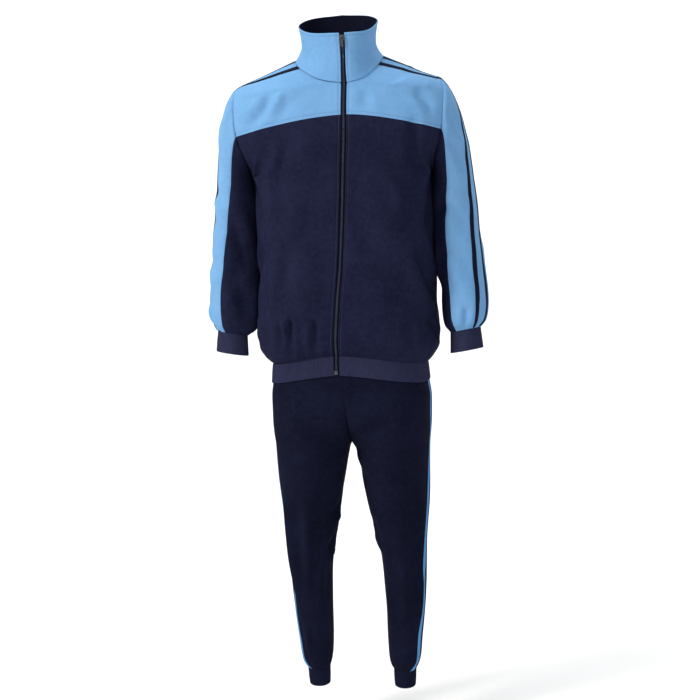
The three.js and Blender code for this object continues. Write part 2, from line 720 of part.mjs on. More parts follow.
for (const side of [1, -1]) {
  const folds = mirrored(SLEEVE_FOLDS, side);
  const underAngle = (index) => mix(SLEEVE_SEAM_BACK, SLEEVE_SEAM_FRONT + 360, index / UNDER_CELLS);
  const upper = new Wall(JERSEY, folds);
  upper.patch(sleevePatch(side, upperAngle, UPPER_CELLS, [true, true, false, true]));
  suit.add(upper.mesh("sleeve_upper_" + sideName(side), BLUE));
  const under = new Wall(JERSEY, folds);
  under.patch(sleevePatch(side, underAngle, UNDER_CELLS, [true, true, false, true]));
  suit.add(under.mesh("sleeve_under_" + sideName(side), NAVY));
  for (const [name, first] of [["front", UPPER_FRONT_CELLS], ["back", UPPER_FRONT_CELLS + 2]]) {
    const angle = (index, share) => upperAngle(first + index, share);
    const stripe = new Wall(STRIPE, folds, SEAM + STRIPE);
    const patch = sleevePatch(side, angle, 1, OPEN);
    stripe.patch({ ...patch, levels: SLEEVE_LEVELS.slice(1), facing: undefined });
    suit.add(stripe.mesh(`sleeve_stripe_${name}_${sideName(side)}`, NAVY));
  }
  const cuff = new Wall(RIB);
  cuff.patch({
    at: (u, v) => sleeveRing(u * 360, mix(SLEEVE_FOOT, CUFF_FOOT, v), side),
    columns: even(22),
    levels: even(3),
    sign: -side,
    seams: [false, false, true, true],
  });
  suit.add(cuff.mesh("cuff_" + sideName(side), NAVY));
}

// Hem band: one strip from the zip round the back to the zip

const band = new Wall(RIB);
for (const side of [1, -1]) {
  for (const isBack of [false, true]) {
    band.patch({
      at: (u, v) => bandPoint(u, v, side, isBack),
      columns: even(BODY_COLUMNS),
      levels: even(2),
      sign: isBack ? side : -side,
      seams: [false, false, true, false],
    });
  }
}
suit.add(band.mesh("hem_band", NAVY));

// Collar and its lining

// Its grid lines meet the corners of the yokes on the neckline
const neckTurn = (table) => (row) => readStraight(table, "neck", row);
const HALF_NECK = [
  ...YOKE_LEVELS.filter((row) => row >= 11).map(neckTurn(BODY_ROWS)),
  ...[...BACK_YOKE_LEVELS].reverse().slice(1, -2).map(neckTurn(BACK_YOKE_ROWS)),
];
const NECK_TURNS = [...HALF_NECK, ...[...HALF_NECK].reverse().slice(1).map((turn) => 360 - turn)];
const LINING_START = 7; // degrees from the zip to the lining's edge, clear of the tapes
function collarPatch(first, trim) {
  const last = 360 - first;
  return {
    at: (u, v) => collarPoint(mix(first, last, u), mix(0.006 + trim, 1 - trim, v)),
    columns: NECK_TURNS.map((turn) => clamp((turn - first) / (last - first), 0, 1)),
    levels: even(4),
    sign: 1,
    seams: OPEN,
  };
}
const collar = new Wall(JERSEY);
collar.patch(collarPatch(HALF_NECK[0], 0));
suit.add(collar.mesh("collar", BLUE));
const lining = new Wall(LINING, [], -(JERSEY + SEAM + 0.9));
lining.patch(collarPatch(LINING_START, 0.012));
suit.add(lining.mesh("collar_lining", NAVY));

// Trousers

const LEG_COLUMNS = 8;
const LEG_LEVELS = [
  WAIST_SEAM, -640, -700, -738, -778, -806, -830, -850, -868, -884, -904, -945, -988, -1040, -1088,
  -1140, -1190, -1240, -1292, -1350, -1397, -1424, -1445, -1460, LEG_FOOT,
];

// Shares of the grid's lines from the inner seam to the side seam, with one on each edge of the stripe
function legShare(index, z, side, isBack) {
  const { total } = legCurve(z, side, isBack);
  const far = 1 - (LEG_STRIPE_NEAR + LEG_STRIPE_WIDTH) / total;
  const near = 1 - LEG_STRIPE_NEAR / total;
  if (index <= LEG_COLUMNS) return (far * index) / LEG_COLUMNS;
  return index === LEG_COLUMNS + 1 ? near : 1;
}

function legPatch(side, isBack, firstColumn, cells, seams, levels) {
  const top = levels[0];
  const span = levels[levels.length - 1] - top;
  return {
    at: (u, v) => {
      const z = top + v * span;
      const index = Math.min(Math.floor(u * cells), cells - 1);
      const [a, b] = [0, 1].map((i) => legShare(firstColumn + index + i, z, side, isBack));
      return legPoint(mix(a, b, u * cells - index), z, side, isBack);
    },
    columns: even(cells),
    levels: levels.map((z) => (z - top) / span),
    sign: isBack ? side : -side,
    seams,
  };
}

for (const side of [1, -1]) {
  for (const isBack of [false, true]) {
    const name = (isBack ? "back_" : "front_") + sideName(side);
    const panel = new Wall(JERSEY, TROUSER_FOLDS);
    panel.patch(legPatch(side, isBack, 0, LEG_COLUMNS + 2, [true, true, true, true], LEG_LEVELS));
    suit.add(panel.mesh("trouser_" + name, NAVY));
    const stripe = new Wall(STRIPE, TROUSER_FOLDS, SEAM + STRIPE);
    const levels = LEG_LEVELS.slice(1);
    stripe.patch(legPatch(side, isBack, LEG_COLUMNS, 1, OPEN, levels));
    suit.add(stripe.mesh("trouser_stripe_" + name, BLUE));
  }
  const ankle = new Wall(RIB);
  ankle.patch({
    at: (u, v) => trouserPoint(mix(-90, 270, u), mix(LEG_FOOT, ANKLE_FOOT, v), side),
    columns: even(20),
    levels: even(3),
    sign: -side,
    seams: [false, false, true, false],
  });
  suit.add(ankle.mesh("ankle_cuff_" + sideName(side), NAVY));
}
const waistband = new Wall(RIB);
for (const side of [1, -1]) {
  for (const isBack of [false, true]) {
    waistband.patch({
      at: (u, v) => legPoint(u, mix(WAIST_Z, WAIST_SEAM, v), side, isBack),
      columns: even(10),
      levels: even(2),
      sign: isBack ? side : -side,
      seams: [false, false, false, true],
    });
  }
}
suit.add(waistband.mesh("waistband", NAVY));

// Zip: two tapes behind the fronts' edges, the chain between them, the slider, its tab and the bottom box

const ZIP_TOP = 42;
const ZIP_FOOT = -706;
const ZIP_LEVELS = [
  ZIP_FOOT, -690, -672, -664, -650, -636, -620, -580, -540, -500, -460, -420, -380, -345, -310, -275,
  -240, -212, -185, -157, -129, -112, -95, -78, -61, -46, -30, -15, 0, 22, ZIP_TOP,
];
function zipPatch(from, to) {
  const span = ZIP_TOP - ZIP_FOOT;
  return {
    at: (u, v) => {
      const z = ZIP_FOOT + v * span;
      return new THREE.Vector3(read(FRONT_LINE, "lean", z) + mix(from, to, u), read(FRONT_LINE, "y", z), z);
    },
    columns: [0, 1],
    levels: ZIP_LEVELS.map((z) => (z - ZIP_FOOT) / span),
    sign: 1,
    seams: OPEN,
  };
}
const TAPE_BACK = -(RIB + 0.6); // the tapes run behind the band, the fronts and the collar
const TAPE_THICK = 0.8;
const CHAIN_THICK = 2;
for (const side of [1, -1]) {
  const tape = new Wall(TAPE_THICK, [], TAPE_BACK);
  const edges = [side * (CHAIN_HALF - 0.4), side * TAPE_REACH].sort((a, b) => a - b);
  tape.patch(zipPatch(edges[0], edges[1]));
  suit.add(tape.mesh("zip_tape_" + sideName(side), NAVY));
}
const CHAIN_FACE = TAPE_BACK + SEAM + CHAIN_THICK;
const chain = new Wall(CHAIN_THICK, [], CHAIN_FACE);
chain.patch(zipPatch(-CHAIN_HALF, CHAIN_HALF));
suit.add(chain.mesh("zip_chain", METAL));

// Solids made of simple shapes joined together
function solidOf(geometry) {
  const plain = geometry.index ? geometry.toNonIndexed() : geometry;
  const corners = plain.getAttribute("position");
  const places = new Map();
  const points = [];
  const faces = [];
  for (let i = 0; i < corners.count; i += 1) {
    const value = [corners.getX(i), corners.getY(i), corners.getZ(i)];
    const place = value.map((part) => part.toFixed(4)).join(" ");
    if (!places.has(place)) {
      places.set(place, places.size);
      points.push(...value);
    }
    faces.push(places.get(place));
  }
  const mesh = new wasm.Mesh({
    numProp: 3,
    vertProperties: new Float32Array(points),
    triVerts: new Uint32Array(faces),
  });
  return new wasm.Manifold(mesh);
}
function box(width, depth, height, x, y, z) {
  return solidOf(new THREE.BoxGeometry(width, depth, height).translate(x, y, z));
}
function joined(name, color, solids) {
  const whole = solids.reduce((a, b) => a.add(b)).getMesh();
  const points = [];
  for (let i = 0; i < whole.vertProperties.length; i += whole.numProp) {
    points.push(new THREE.Vector3(...whole.vertProperties.slice(i, i + 3)));
  }
  const faces = [];
  for (let i = 0; i < whole.triVerts.length; i += 3) faces.push([...whole.triVerts.slice(i, i + 3)]);
  return meshOf(name, color, points, faces);
}

// The slider's body lies on the chain's face, and its bridge arches over the tab's cross bar
const SLIDER_X = read(FRONT_LINE, "lean", SLIDER_Z);
const SLIDER_FACE = read(FRONT_LINE, "y", SLIDER_Z) - CHAIN_FACE - SEAM;
const SLIDER_THICK = 2.2;
const SLIDER_WIDTH = 9.5;
const SLIDER_HEIGHT = 11;
const SLIDER_FRONT = SLIDER_FACE - SLIDER_THICK;
const BRIDGE_WIDTH = 2;
const BRIDGE_REACH = 3.6; // how far the bridge stands out of the slider's body
const BRIDGE_THICK = 1.1;
const BRIDGE_HEIGHT = 8.2;
const POST_HEIGHT = 1.2;
const BAR_Y = SLIDER_FRONT - 1.3;
const BAR_Z = SLIDER_Z + 0.5;
const BAR_RADIUS = 0.7;
const TAB_WIDTH = 6.4;
const TAB_THICK = 1.4;
const ARM_WIDTH = 1.5; // the two arms that hold the bar, one on each side of the bridge
const ARM_LENGTH = 6.4;
const ARM_X = (TAB_WIDTH - ARM_WIDTH) / 2;
const PLATE_LENGTH = TAB_LENGTH - 6;

const bridgeParts = [1, -1].map((end) => {
  const y = SLIDER_FRONT - BRIDGE_REACH / 2 + 0.1;
  const z = BAR_Z + (end * (BRIDGE_HEIGHT - POST_HEIGHT)) / 2;
  return box(BRIDGE_WIDTH, BRIDGE_REACH, POST_HEIGHT, SLIDER_X, y, z);
});
const bridgeY = SLIDER_FRONT - BRIDGE_REACH + BRIDGE_THICK / 2;
bridgeParts.push(box(BRIDGE_WIDTH, BRIDGE_THICK, BRIDGE_HEIGHT, SLIDER_X, bridgeY, BAR_Z));
const sliderY = (SLIDER_FACE + SLIDER_FRONT) / 2;
const sliderBody = box(SLIDER_WIDTH, SLIDER_THICK, SLIDER_HEIGHT, SLIDER_X, sliderY, SLIDER_Z);
suit.add(joined("zip_slider", METAL, [sliderBody, ...bridgeParts]));

const bar = new THREE.CylinderGeometry(BAR_RADIUS, BAR_RADIUS, TAB_WIDTH, 12);
bar.rotateZ(Math.PI / 2).translate(SLIDER_X, BAR_Y, BAR_Z);
const arms = [1, -1].map((end) =>
  box(ARM_WIDTH, TAB_THICK, ARM_LENGTH, SLIDER_X + end * ARM_X, BAR_Y, BAR_Z - ARM_LENGTH / 2 + 0.1),
);
const plateZ = BAR_Z - TAB_LENGTH + PLATE_LENGTH / 2;
const plate = box(TAB_WIDTH, TAB_THICK, PLATE_LENGTH, SLIDER_X, BAR_Y, plateZ);
suit.add(joined("zip_pull_tab", METAL, [solidOf(bar), ...arms, plate]));

const BOX_Z = ZIP_FOOT + 5;
const BOX_Y = read(FRONT_LINE, "y", BOX_Z) - CHAIN_FACE - 2 * SEAM;
suit.add(
  joined("zip_box", METAL, [box(7.5, 2, 9, read(FRONT_LINE, "lean", BOX_Z), BOX_Y - 1, BOX_Z)]),
);

export default suit;
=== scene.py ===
"""A worn tracksuit of knitted jersey: a zipped jacket with a stand collar over a pair of trousers.
Sizes are in millimetres and become metres when a mesh is made. +Z is up and the front faces -Y."""
import math

import bmesh
import bpy
import numpy as np
from mathutils import Matrix, Vector


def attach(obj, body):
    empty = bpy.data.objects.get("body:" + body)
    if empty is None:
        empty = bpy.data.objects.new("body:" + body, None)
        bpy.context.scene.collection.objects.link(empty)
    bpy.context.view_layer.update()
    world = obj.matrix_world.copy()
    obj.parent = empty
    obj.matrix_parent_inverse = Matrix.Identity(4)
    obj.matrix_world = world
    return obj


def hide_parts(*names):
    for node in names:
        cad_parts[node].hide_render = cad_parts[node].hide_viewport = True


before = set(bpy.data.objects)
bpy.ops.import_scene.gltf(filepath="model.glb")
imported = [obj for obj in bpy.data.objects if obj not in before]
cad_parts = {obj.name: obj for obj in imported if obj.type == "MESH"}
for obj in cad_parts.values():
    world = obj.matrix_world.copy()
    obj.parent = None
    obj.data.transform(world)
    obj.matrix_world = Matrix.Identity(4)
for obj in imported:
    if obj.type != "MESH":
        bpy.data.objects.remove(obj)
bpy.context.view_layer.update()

MM = 0.001

# Driving sizes, the same as the solids'

JERSEY = 1.6  # wall of the body cloth
RIB = 2.2  # wall of the rib knit
LINING = 1.0
STRIPE = 0.6
SEAM = 0.3  # gap between two pieces at a seam
ZIP_HALF = 6.5  # from the zip's centre to a front's edge
ARMHOLE_TOP, ARMHOLE_FOOT, ARMHOLE_DEPTH = -50, -256, 77
NECK_SIDE, NECK_BACK = 100, 66
SLEEVE_FOOT, CUFF_FOOT = -620, -668
SLEEVE_SEAM_FRONT, SLEEVE_SEAM_BACK = -8, 188  # degrees round the arm from its front
CAP_SHARE, CAP_FOOT = 0.34, -275  # the sleeve's cap: its share of the sleeve, and where it ends
WAIST_Z, WAIST_SEAM = -545, -585
LEG_FOOT, ANKLE_FOOT = -1468, -1514
LEG_STRIPE_NEAR, LEG_STRIPE_WIDTH = 8, 12
BAND_OUT = RIB + 1.9
BAND_HEIGHT = 45
ROUNDNESS = 2.35  # power of the rounded rectangle round the body
LINING_START = 7  # degrees from the zip to the lining's edge
TAPE_BACK = -(RIB + 0.6)
CHAIN_FACE = TAPE_BACK + SEAM + 2
ZIP_TOP, ZIP_FOOT = 42, -706
SLIDER_Z = 36
ARMHOLE_ROW, YOKE_ROW, NECK_ROW = 7, 9, 11  # rows of the body where its armhole, yoke and neck start
FRONT_END_ROW, BACK_END_ROW = 17, 13  # its last rows in front and behind
OFF_BODY = 0.05  # a sleeve starts this far outside the body's edge, so that no two faces coincide


def rows(names, values):
    """A table with named columns; the first column is its key."""
    return dict(zip(names.split(), np.array(values, float).T))


FRONT_LINE = rows("z y lean", [
    (-712, -119.8, -17), (-664, -116.6, -16), (-650, -125, -15), (-620, -131, -14), (-540, -131, -7),
    (-460, -128, 2), (-380, -127, 8), (-310, -129, 13), (-240, -130, 17), (-185, -127, 20),
    (-129, -118, 21), (-95, -107, 21), (-61, -93, 21), (-30, -86, 20), (0, -84, 20), (46, -86, 19),
])
BODY_ROWS = rows("row frontZ backZ backY crest side sideZ arm neck end", [
    (0, -664, -712, 120, 40, 187, -694, 180, 0, 90),
    (1, -650, -696, 127, 42, 200, -677, 180, 0, 90),
    (2, -622, -664, 132, 45, 212, -645, 180, 0, 90),
    (3, -550, -580, 129, 45, 211, -562, 180, 0, 90),
    (4, -465, -480, 117, 45, 206, -470, 180, 0, 90),
    (5, -385, -390, 113, 45, 203, -386, 180, 0, 90),
    (6, -310, -305, 118, 48, 202, -316, 180, 0, 90),
    (7, -240, -235, 122, 50, 206, -256, 180, 0, 90),
    (8, -184, -190, 122, 50, 206, -256, 139, 0, 74),
    (9, -129, -150, 119, 50, 206, -256, 98, 0, 62),
    (10, -94, -70, 100, 45, 206, -256, 74, 0, 56),
    (11, -61, 14, 66, 40, 206, -256, 52, 3.7, 54),
    (12, -61, 14, 66, 40, 206, -256, 36, 38, 60),
    (13, -61, 14, 66, 40, 206, -256, 22, 62, 75),
    (14, -61, 14, 66, 40, 206, -256, 15, 70, 80),
    (15, -61, 14, 66, 40, 206, -256, 2, 83, 88),
    (16, -61, 14, 66, 40, 206, -256, -6, 91, 88),
    (17, -61, 14, 66, 40, 206, -256, -16, 103, 80),
])
BACK_YOKE_ROWS = rows("row backZ backY arm neck end", [
    (7, -235, 122, 180, 180, 90), (8, -190, 122, 139, 180, 74), (9, -150, 119, 98, 180, 62),
    (10, -70, 100, 74, 180, 56), (11, 14, 66, 50, 180, 54), (12, 14, 66, 33, 141, 66),
    (13, 14, 66, 16, 103, 80),
])
ARMHOLE = rows("turn x", [(-45, 236), (0, 222), (45, 236), (95, 231), (135, 214), (180, 206)])
NECKLINE = rows("turn z", [(0, -61), (30, -50), (60, -24), (90, -1), (135, 10), (180, 14)])
COLLAR = rows("rise width back", [
    (0, 1, 1), (0.18, 0.9, 0.93), (0.4, 0.845, 0.91), (0.7, 0.86, 0.96), (1, 0.91, 1.05),
])
COLLAR_RIM = rows("turn z", [(0, 46), (45, 52), (90, 76), (135, 95), (180, 102)])
SLEEVE_ROWS = rows("z x y width depth tilt turn", [
    (-275, 252, 1, 45, 62, 0, 8), (-320, 255.5, 3, 48, 60, 0.02, 14), (-365, 258, 4, 50.5, 58, 0.04, 18),
    (-410, 261, 4, 52.5, 57, 0.05, 22), (-480, 267.5, -2, 54.5, 55, 0.08, 25),
    (-540, 272.5, -12, 55.5, 54, 0.1, 27), (-580, 273.5, -20, 54, 51, 0.13, 27),
    (-606, 273.5, -25, 47, 46, 0.15, 27), (-618, 273.5, -27, 37, 36.5, 0.17, 27),
    (-622, 273.8, -28, 35, 34.5, 0.17, 27), (-645, 275, -31, 36.5, 35, 0.17, 27),
    (-668, 276, -33, 38, 35.5, 0.17, 27),
])
SLEEVE_STRIPES = rows("share a b c d", [
    (0, 68, 75, 88, 96), (0.25, 60, 70, 88, 98), (0.4, 54, 66, 87, 99), (1, 54, 66, 87, 99),
])
TROUSER_ROWS = rows("z side crest inner front back innerFront innerBack y", [
    (-545, 157, 30, 0, 102, 96, 102, 96, 0), (-585, 160, 30, 0, 105, 99, 105, 99, 0),
    (-640, 170, 34, 0, 110, 108, 110, 108, 0), (-700, 180, 42, 0, 115, 116, 115, 116, 0),
    (-738, 184, 50, 0, 117, 121, 117, 121, 0), (-778, 189, 60, 0, 118, 125, 116, 122, 0),
    (-830, 189, 77, 0, 113, 123, 92, 110, 0), (-865, 187, 88, 0, 107, 116, 50, 74, 0),
    (-884, 185, 93, 0, 102, 109, 14, 24, 0), (-904, 184, 96, 8, 98, 103, 0, 0, 0),
    (-988, 182, 102.5, 23, 88, 87, 0, 0, 0), (-1088, 175, 108.5, 42, 74, 71, 0, 0, -3),
    (-1190, 167, 113.5, 60, 62, 58, 0, 0, -4), (-1292, 163, 114.5, 66, 54, 56, 0, 0, 3),
    (-1397, 153, 110.5, 68, 47, 48, 0, 0, 8), (-1440, 148, 109.5, 71, 42, 44, 0, 0, 9),
    (-1462, 140, 108, 76, 33, 35, 0, 0, 9), (-1470, 136.5, 108, 79.5, 29.5, 30.5, 0, 0, 9),
    (-1492, 135, 107.5, 80, 28.5, 29.5, 0, 0, 9), (-1514, 133, 107, 81, 27, 28, 0, 0, 9),
])

# Small helpers


def sin(degrees):
    return np.sin(np.radians(degrees))


def cos(degrees):
    return np.cos(np.radians(degrees))


def mix(a, b, t):
    return a + (b - a) * t


def smooth(t):
    t = np.clip(t, 0, 1)
    return t * t * (3 - 2 * t)


def read(table, name, key):
    """A smooth curve through one column of a table, level at its peaks."""
    keys, values = next(iter(table.values())), table[name]
    if keys[0] > keys[-1]:
        keys, values = keys[::-1], values[::-1]
    steps = np.diff(values)
    slopes = np.empty(len(keys))
    slopes[0], slopes[-1] = steps[0] / (keys[1] - keys[0]), steps[-1] / (keys[-1] - keys[-2])
    middle = (values[2:] - values[:-2]) / (keys[2:] - keys[:-2])
    slopes[1:-1] = np.where(steps[1:] * steps[:-1] <= 0, 0, middle)
    at = np.clip(key, keys[0], keys[-1])
    i = np.clip(np.searchsorted(keys, at) - 1, 0, len(keys) - 2)
    span = keys[i + 1] - keys[i]
    t = (at - keys[i]) / span
    start = (2 * t**3 - 3 * t**2 + 1) * values[i] + (t**3 - 2 * t**2 + t) * span * slopes[i]
    return start + (3 * t**2 - 2 * t**3) * values[i + 1] + (t**3 - t**2) * span * slopes[i + 1]


def read_straight(table, name, key):
    keys = next(iter(table.values()))
    return np.interp(key, keys, table[name])


def points(x, y, z):
    return np.stack(np.broadcast_arrays(x, y, z), -1).astype(float)


def unit(vectors):
    return vectors / np.maximum(np.linalg.norm(vectors, axis=-1, keepdims=True), 1e-9)


def normals_of(grid, sign):
    """The way each point of a grid faces. `grid` is levels by columns by 3."""
    return unit(np.cross(np.gradient(grid, axis=1), np.gradient(grid, axis=0))) * sign


def distance_in(grid, axis):
    """Distance along one axis of the grid from its first line, in millimetres."""
    steps = np.linalg.norm(np.diff(grid, axis=axis), axis=2)
    return np.insert(np.cumsum(steps, axis=axis), 0, 0, axis=axis)


CURVE_STEPS = 72


def along(curve, shares):
    """Points at shares of the length of each row's plan curve. `curve` is rows by steps by 2."""
    found = np.empty((len(curve), shares.shape[-1], 2))
    for i, (line, length) in enumerate(zip(curve, distance_in(curve, 1))):
        wanted = shares[min(i, len(shares) - 1)] * length[-1]
        for k in (0, 1):
            found[i, :, k] = np.interp(wanted, length, line[:, k])
    return found


# The jacket's surfaces, by share across a panel and row up it


def quarter(turn, end, start, finish):
    """A quarter of a rounded rectangle, from level until it has turned by `end` degrees."""
    power = 2 / ROUNDNESS
    across = (sin(turn) / sin(end)) ** power
    least = np.maximum(cos(end), 0) ** power
    up = (np.maximum(cos(turn), 0) ** power - least) / (1 - least)
    return mix(start[0], finish[0], across), mix(finish[1], start[1], up)


def armhole(turn, side):
    """The armhole's edge, `turn` degrees from its top towards the front."""
    wrapped = np.abs(turn) % 360
    from_top = np.where(wrapped > 180, 360 - wrapped, wrapped)
    z = mix(ARMHOLE_FOOT, ARMHOLE_TOP, (1 + cos(turn)) / 2)
    return points(side * read(ARMHOLE, "x", from_top), -ARMHOLE_DEPTH * sin(turn), z)


NECK_FRONT_Z = NECKLINE["z"][0]
NECK_LEAN = read(FRONT_LINE, "lean", NECK_FRONT_Z)


def neckline(turn, side):
    """The neck's seam, `turn` degrees from the front towards one side."""
    lean = NECK_LEAN * np.maximum(cos(turn), 0) ** 2
    y = np.where(turn < 90, read(FRONT_LINE, "y", NECK_FRONT_Z), -NECK_BACK) * cos(turn)
    return points(side * NECK_SIDE * sin(turn) + lean, y, read(NECKLINE, "z", turn))


def body_curve(row, side, is_back):
    """The plan curve of each row of a jacket half, with its inner and outer ends."""
    yoke = BACK_YOKE_ROWS if is_back else BODY_ROWS
    above = row > ARMHOLE_ROW

    def value(name, reader=read):
        return np.where(above, reader(yoke, name, row), reader(BODY_ROWS, name, row))

    if is_back:
        inner = points(0 * row, value("backY"), value("backZ"))
    else:
        z = read(BODY_ROWS, "frontZ", row)
        inner = points(read(FRONT_LINE, "lean", z) + side * ZIP_HALF, read(FRONT_LINE, "y", z), z)
    on_neck = row > NECK_ROW - 0.001
    inner = np.where(on_neck[:, None], neckline(value("neck", read_straight), side), inner)
    outer = points(side * read(BODY_ROWS, "side", row), 0, read(BODY_ROWS, "sideZ", row))
    arm = armhole((-1 if is_back else 1) * value("arm", read_straight), side)
    outer = np.where(above[:, None], arm, outer)
    end = np.where(above, value("end"), 90)[:, None]
    reach = np.abs(outer[:, 0] - inner[:, 0])
    neck_share = smooth((row - 10.2) / 0.8)
    crest = mix(np.minimum(read(BODY_ROWS, "crest", row), 0.4 * reach), 0.12 * reach, neck_share)
    turn_x = inner[:, 0] + side * crest
    t = np.linspace(0, 1, CURVE_STEPS + 1)[None, :]
    straight = (crest / reach)[:, None]
    turn = np.clip((t - straight) / (1 - straight), 0, 1) * end
    x, y = quarter(turn, end, (turn_x[:, None], inner[:, 1:2]), (outer[:, :1], outer[:, 1:2]))
    flat_x = mix(inner[:, :1], turn_x[:, None], np.minimum(t / straight, 1))
    x = np.where(t < straight, flat_x, x)
    return inner, outer, np.stack([x, y], -1)


def body_points(row, share, side, is_back):
    """The outer face of a jacket half, at shares across from its inner edge and rows up it."""
    inner, outer, curve = body_curve(row, side, is_back)
    flat = along(curve, np.atleast_2d(share))
    across = np.clip((flat[:, :, 0] - inner[:, :1]) / (outer[:, :1] - inner[:, :1]), 0, 1)
    power = mix(1.5, 1, smooth((row - 10.3) / 1.4))[:, None]
    z = mix(inner[:, 2:], outer[:, 2:], across**power)
    found = points(flat[:, :, 0], flat[:, :, 1], z)
    low = row < 1
    if low.any():
        hem = band_points(np.atleast_2d(share)[:1], np.zeros((1, 1)), side, is_back)
        found[low] = mix(hem, found[low], row[low][:, None, None])
    return found


# The trousers, and the hem band that lies on their form


def trouser_plan(turn, z, side, out, is_back):
    """A leg's plan. It turns from the inseam, at -90 or 270 degrees, over the crest of its front, at 0,
    or its back, at 180, to the side seam at 90. `out` is mm outside the leg."""
    def value(name):
        return read(TROUSER_ROWS, name, z)

    depth = value("back" if is_back else "front") + out
    inner_y = value("innerBack" if is_back else "innerFront") + out
    is_outer = (turn >= 0) & (turn <= 180)
    edge = np.where(is_outer, value("side") + out, value("inner"))
    power = 2 / np.where(is_outer, mix(ROUNDNESS, 2, smooth((-z - 850) / 150)), 2)
    across = np.abs(sin(turn)) ** power
    up = np.abs(cos(turn)) ** power
    least = np.where(is_outer, 0, np.minimum(inner_y, depth))
    y = mix(least, depth, up) * (1 if is_back else -1)
    return side * mix(value("crest"), edge, across), y + value("y")


def leg_curve(z, side, is_back, out=0.0):
    """The plan curve of each level of a leg's half, from the inseam to the side seam."""
    first, last = (270, 90) if is_back else (-90, 90)
    turn = np.linspace(first, last, CURVE_STEPS + 1)[None, :]
    return np.stack(trouser_plan(turn, z[:, None], side, out, is_back), -1)


def leg_points(z, share, side, is_back):
    """The outer face of a leg's half, at shares across it and levels down it."""
    flat = along(leg_curve(z, side, is_back), np.atleast_2d(share))
    return points(flat[:, :, 0], flat[:, :, 1], z[:, None])


def band_points(share, drop, side, is_back):
    """Outer face of the hem band: `share` is 1 by columns, `drop` is levels by 1."""
    front_z, back_z = BODY_ROWS["frontZ"][0], BODY_ROWS["backZ"][0]
    side_z = BODY_ROWS["sideZ"][0]
    start = 0 if is_back else side * read(FRONT_LINE, "lean", front_z) + ZIP_HALF
    centre_z = back_z if is_back else front_z

    def place(z):
        curve = leg_curve(z, 1, is_back, BAND_OUT)
        lengths = distance_in(curve, 1)
        found = np.empty((share.shape[1], 2))
        for i in range(share.shape[1]):
            length = start + share[0, i] * (lengths[i, -1] - start)
            found[i] = [np.interp(max(length, 0), lengths[i], curve[i, :, k]) for k in (0, 1)]
            found[i, 0] += min(length, 0)
        return found

    level = place(np.full(share.shape[1], side_z))
    end_x = leg_curve(np.array([side_z]), 1, is_back, BAND_OUT)[0, -1, 0]
    across = np.clip((level[:, 0] - start) / (end_x - start), 0, 1)
    found = []
    for one in drop[:, 0]:
        z = mix(centre_z, side_z, across**1.5) - one * BAND_HEIGHT
        flat = place(z)
        found.append(points(side * flat[:, 0], flat[:, 1], z))
    return np.array(found)


# Sleeves and collar


def sleeve_ring(turn, z, side):
    """The sleeve below its cap, `turn` degrees round from the front over the outside."""
    def value(name):
        return read(SLEEVE_ROWS, name, z)

    angle = turn - side * value("turn")
    dx = value("width") * sin(angle)
    dy = -value("depth") * cos(angle)
    rise = value("tilt") * (dx - 0.7 * dy)
    return points(side * (value("x") + dx), value("y") + dy, z + rise)


def sleeve_points(share, turn, side):
    """`share` is levels by 1, from the armhole to the cuff's seam; `turn` is degrees round the arm."""
    down = np.clip((share - CAP_SHARE) / (1 - CAP_SHARE), 0, 1)
    lower = sleeve_ring(turn, mix(CAP_FOOT, SLEEVE_FOOT, down), side)
    t = np.clip(share / CAP_SHARE, 0, 1)[..., None]
    round_ = 90 - turn
    start = armhole(round_, side)
    start[..., 0] += side * OFF_BODY
    finish = sleeve_ring(turn, np.full_like(turn, CAP_FOOT, dtype=float), side)
    apart = np.linalg.norm(finish - start, axis=-1, keepdims=True)
    # It leaves the armhole outwards, and comes to the arm almost straight down
    top = cos(round_)
    leave = points(side * (0.57 + 0.37 * top), -0.42 * sin(round_), -0.66 + 0.32 * top)
    leave *= 0.55 * apart / np.linalg.norm(leave, axis=-1, keepdims=True)
    arrive = points(side * 0.07, 0, -1) * apart * 0.95
    cap = start * (2 * t**3 - 3 * t**2 + 1) + leave * (t**3 - 2 * t**2 + t)
    cap = cap + finish * (3 * t**2 - 2 * t**3) + arrive * (t**3 - t**2)
    return np.where((share >= CAP_SHARE)[..., None], lower, cap)


def collar_points(rise, turn):
    """The collar's outer face. `rise` is 0 at its seam and 1 at its rim, and `turn` is degrees round
    from the front by the wearer's left."""
    side = np.where(turn <= 180, 1, -1)
    round_ = np.where(turn <= 180, turn, 360 - turn)
    base = neckline(round_, side)
    z = mix(base[..., 2], read(COLLAR_RIM, "z", round_), rise)
    front = np.maximum(cos(round_), 0) ** 2
    x = (base[..., 0] - NECK_LEAN * front) * read(COLLAR, "width", rise)
    front_y = read(FRONT_LINE, "y", mix(NECK_FRONT_Z, COLLAR_RIM["z"][0], rise)) * cos(round_)
    y = np.where(round_ < 90, front_y, base[..., 1] * read(COLLAR, "back", rise))
    return points(x + read(FRONT_LINE, "lean", z) * front, y, z)
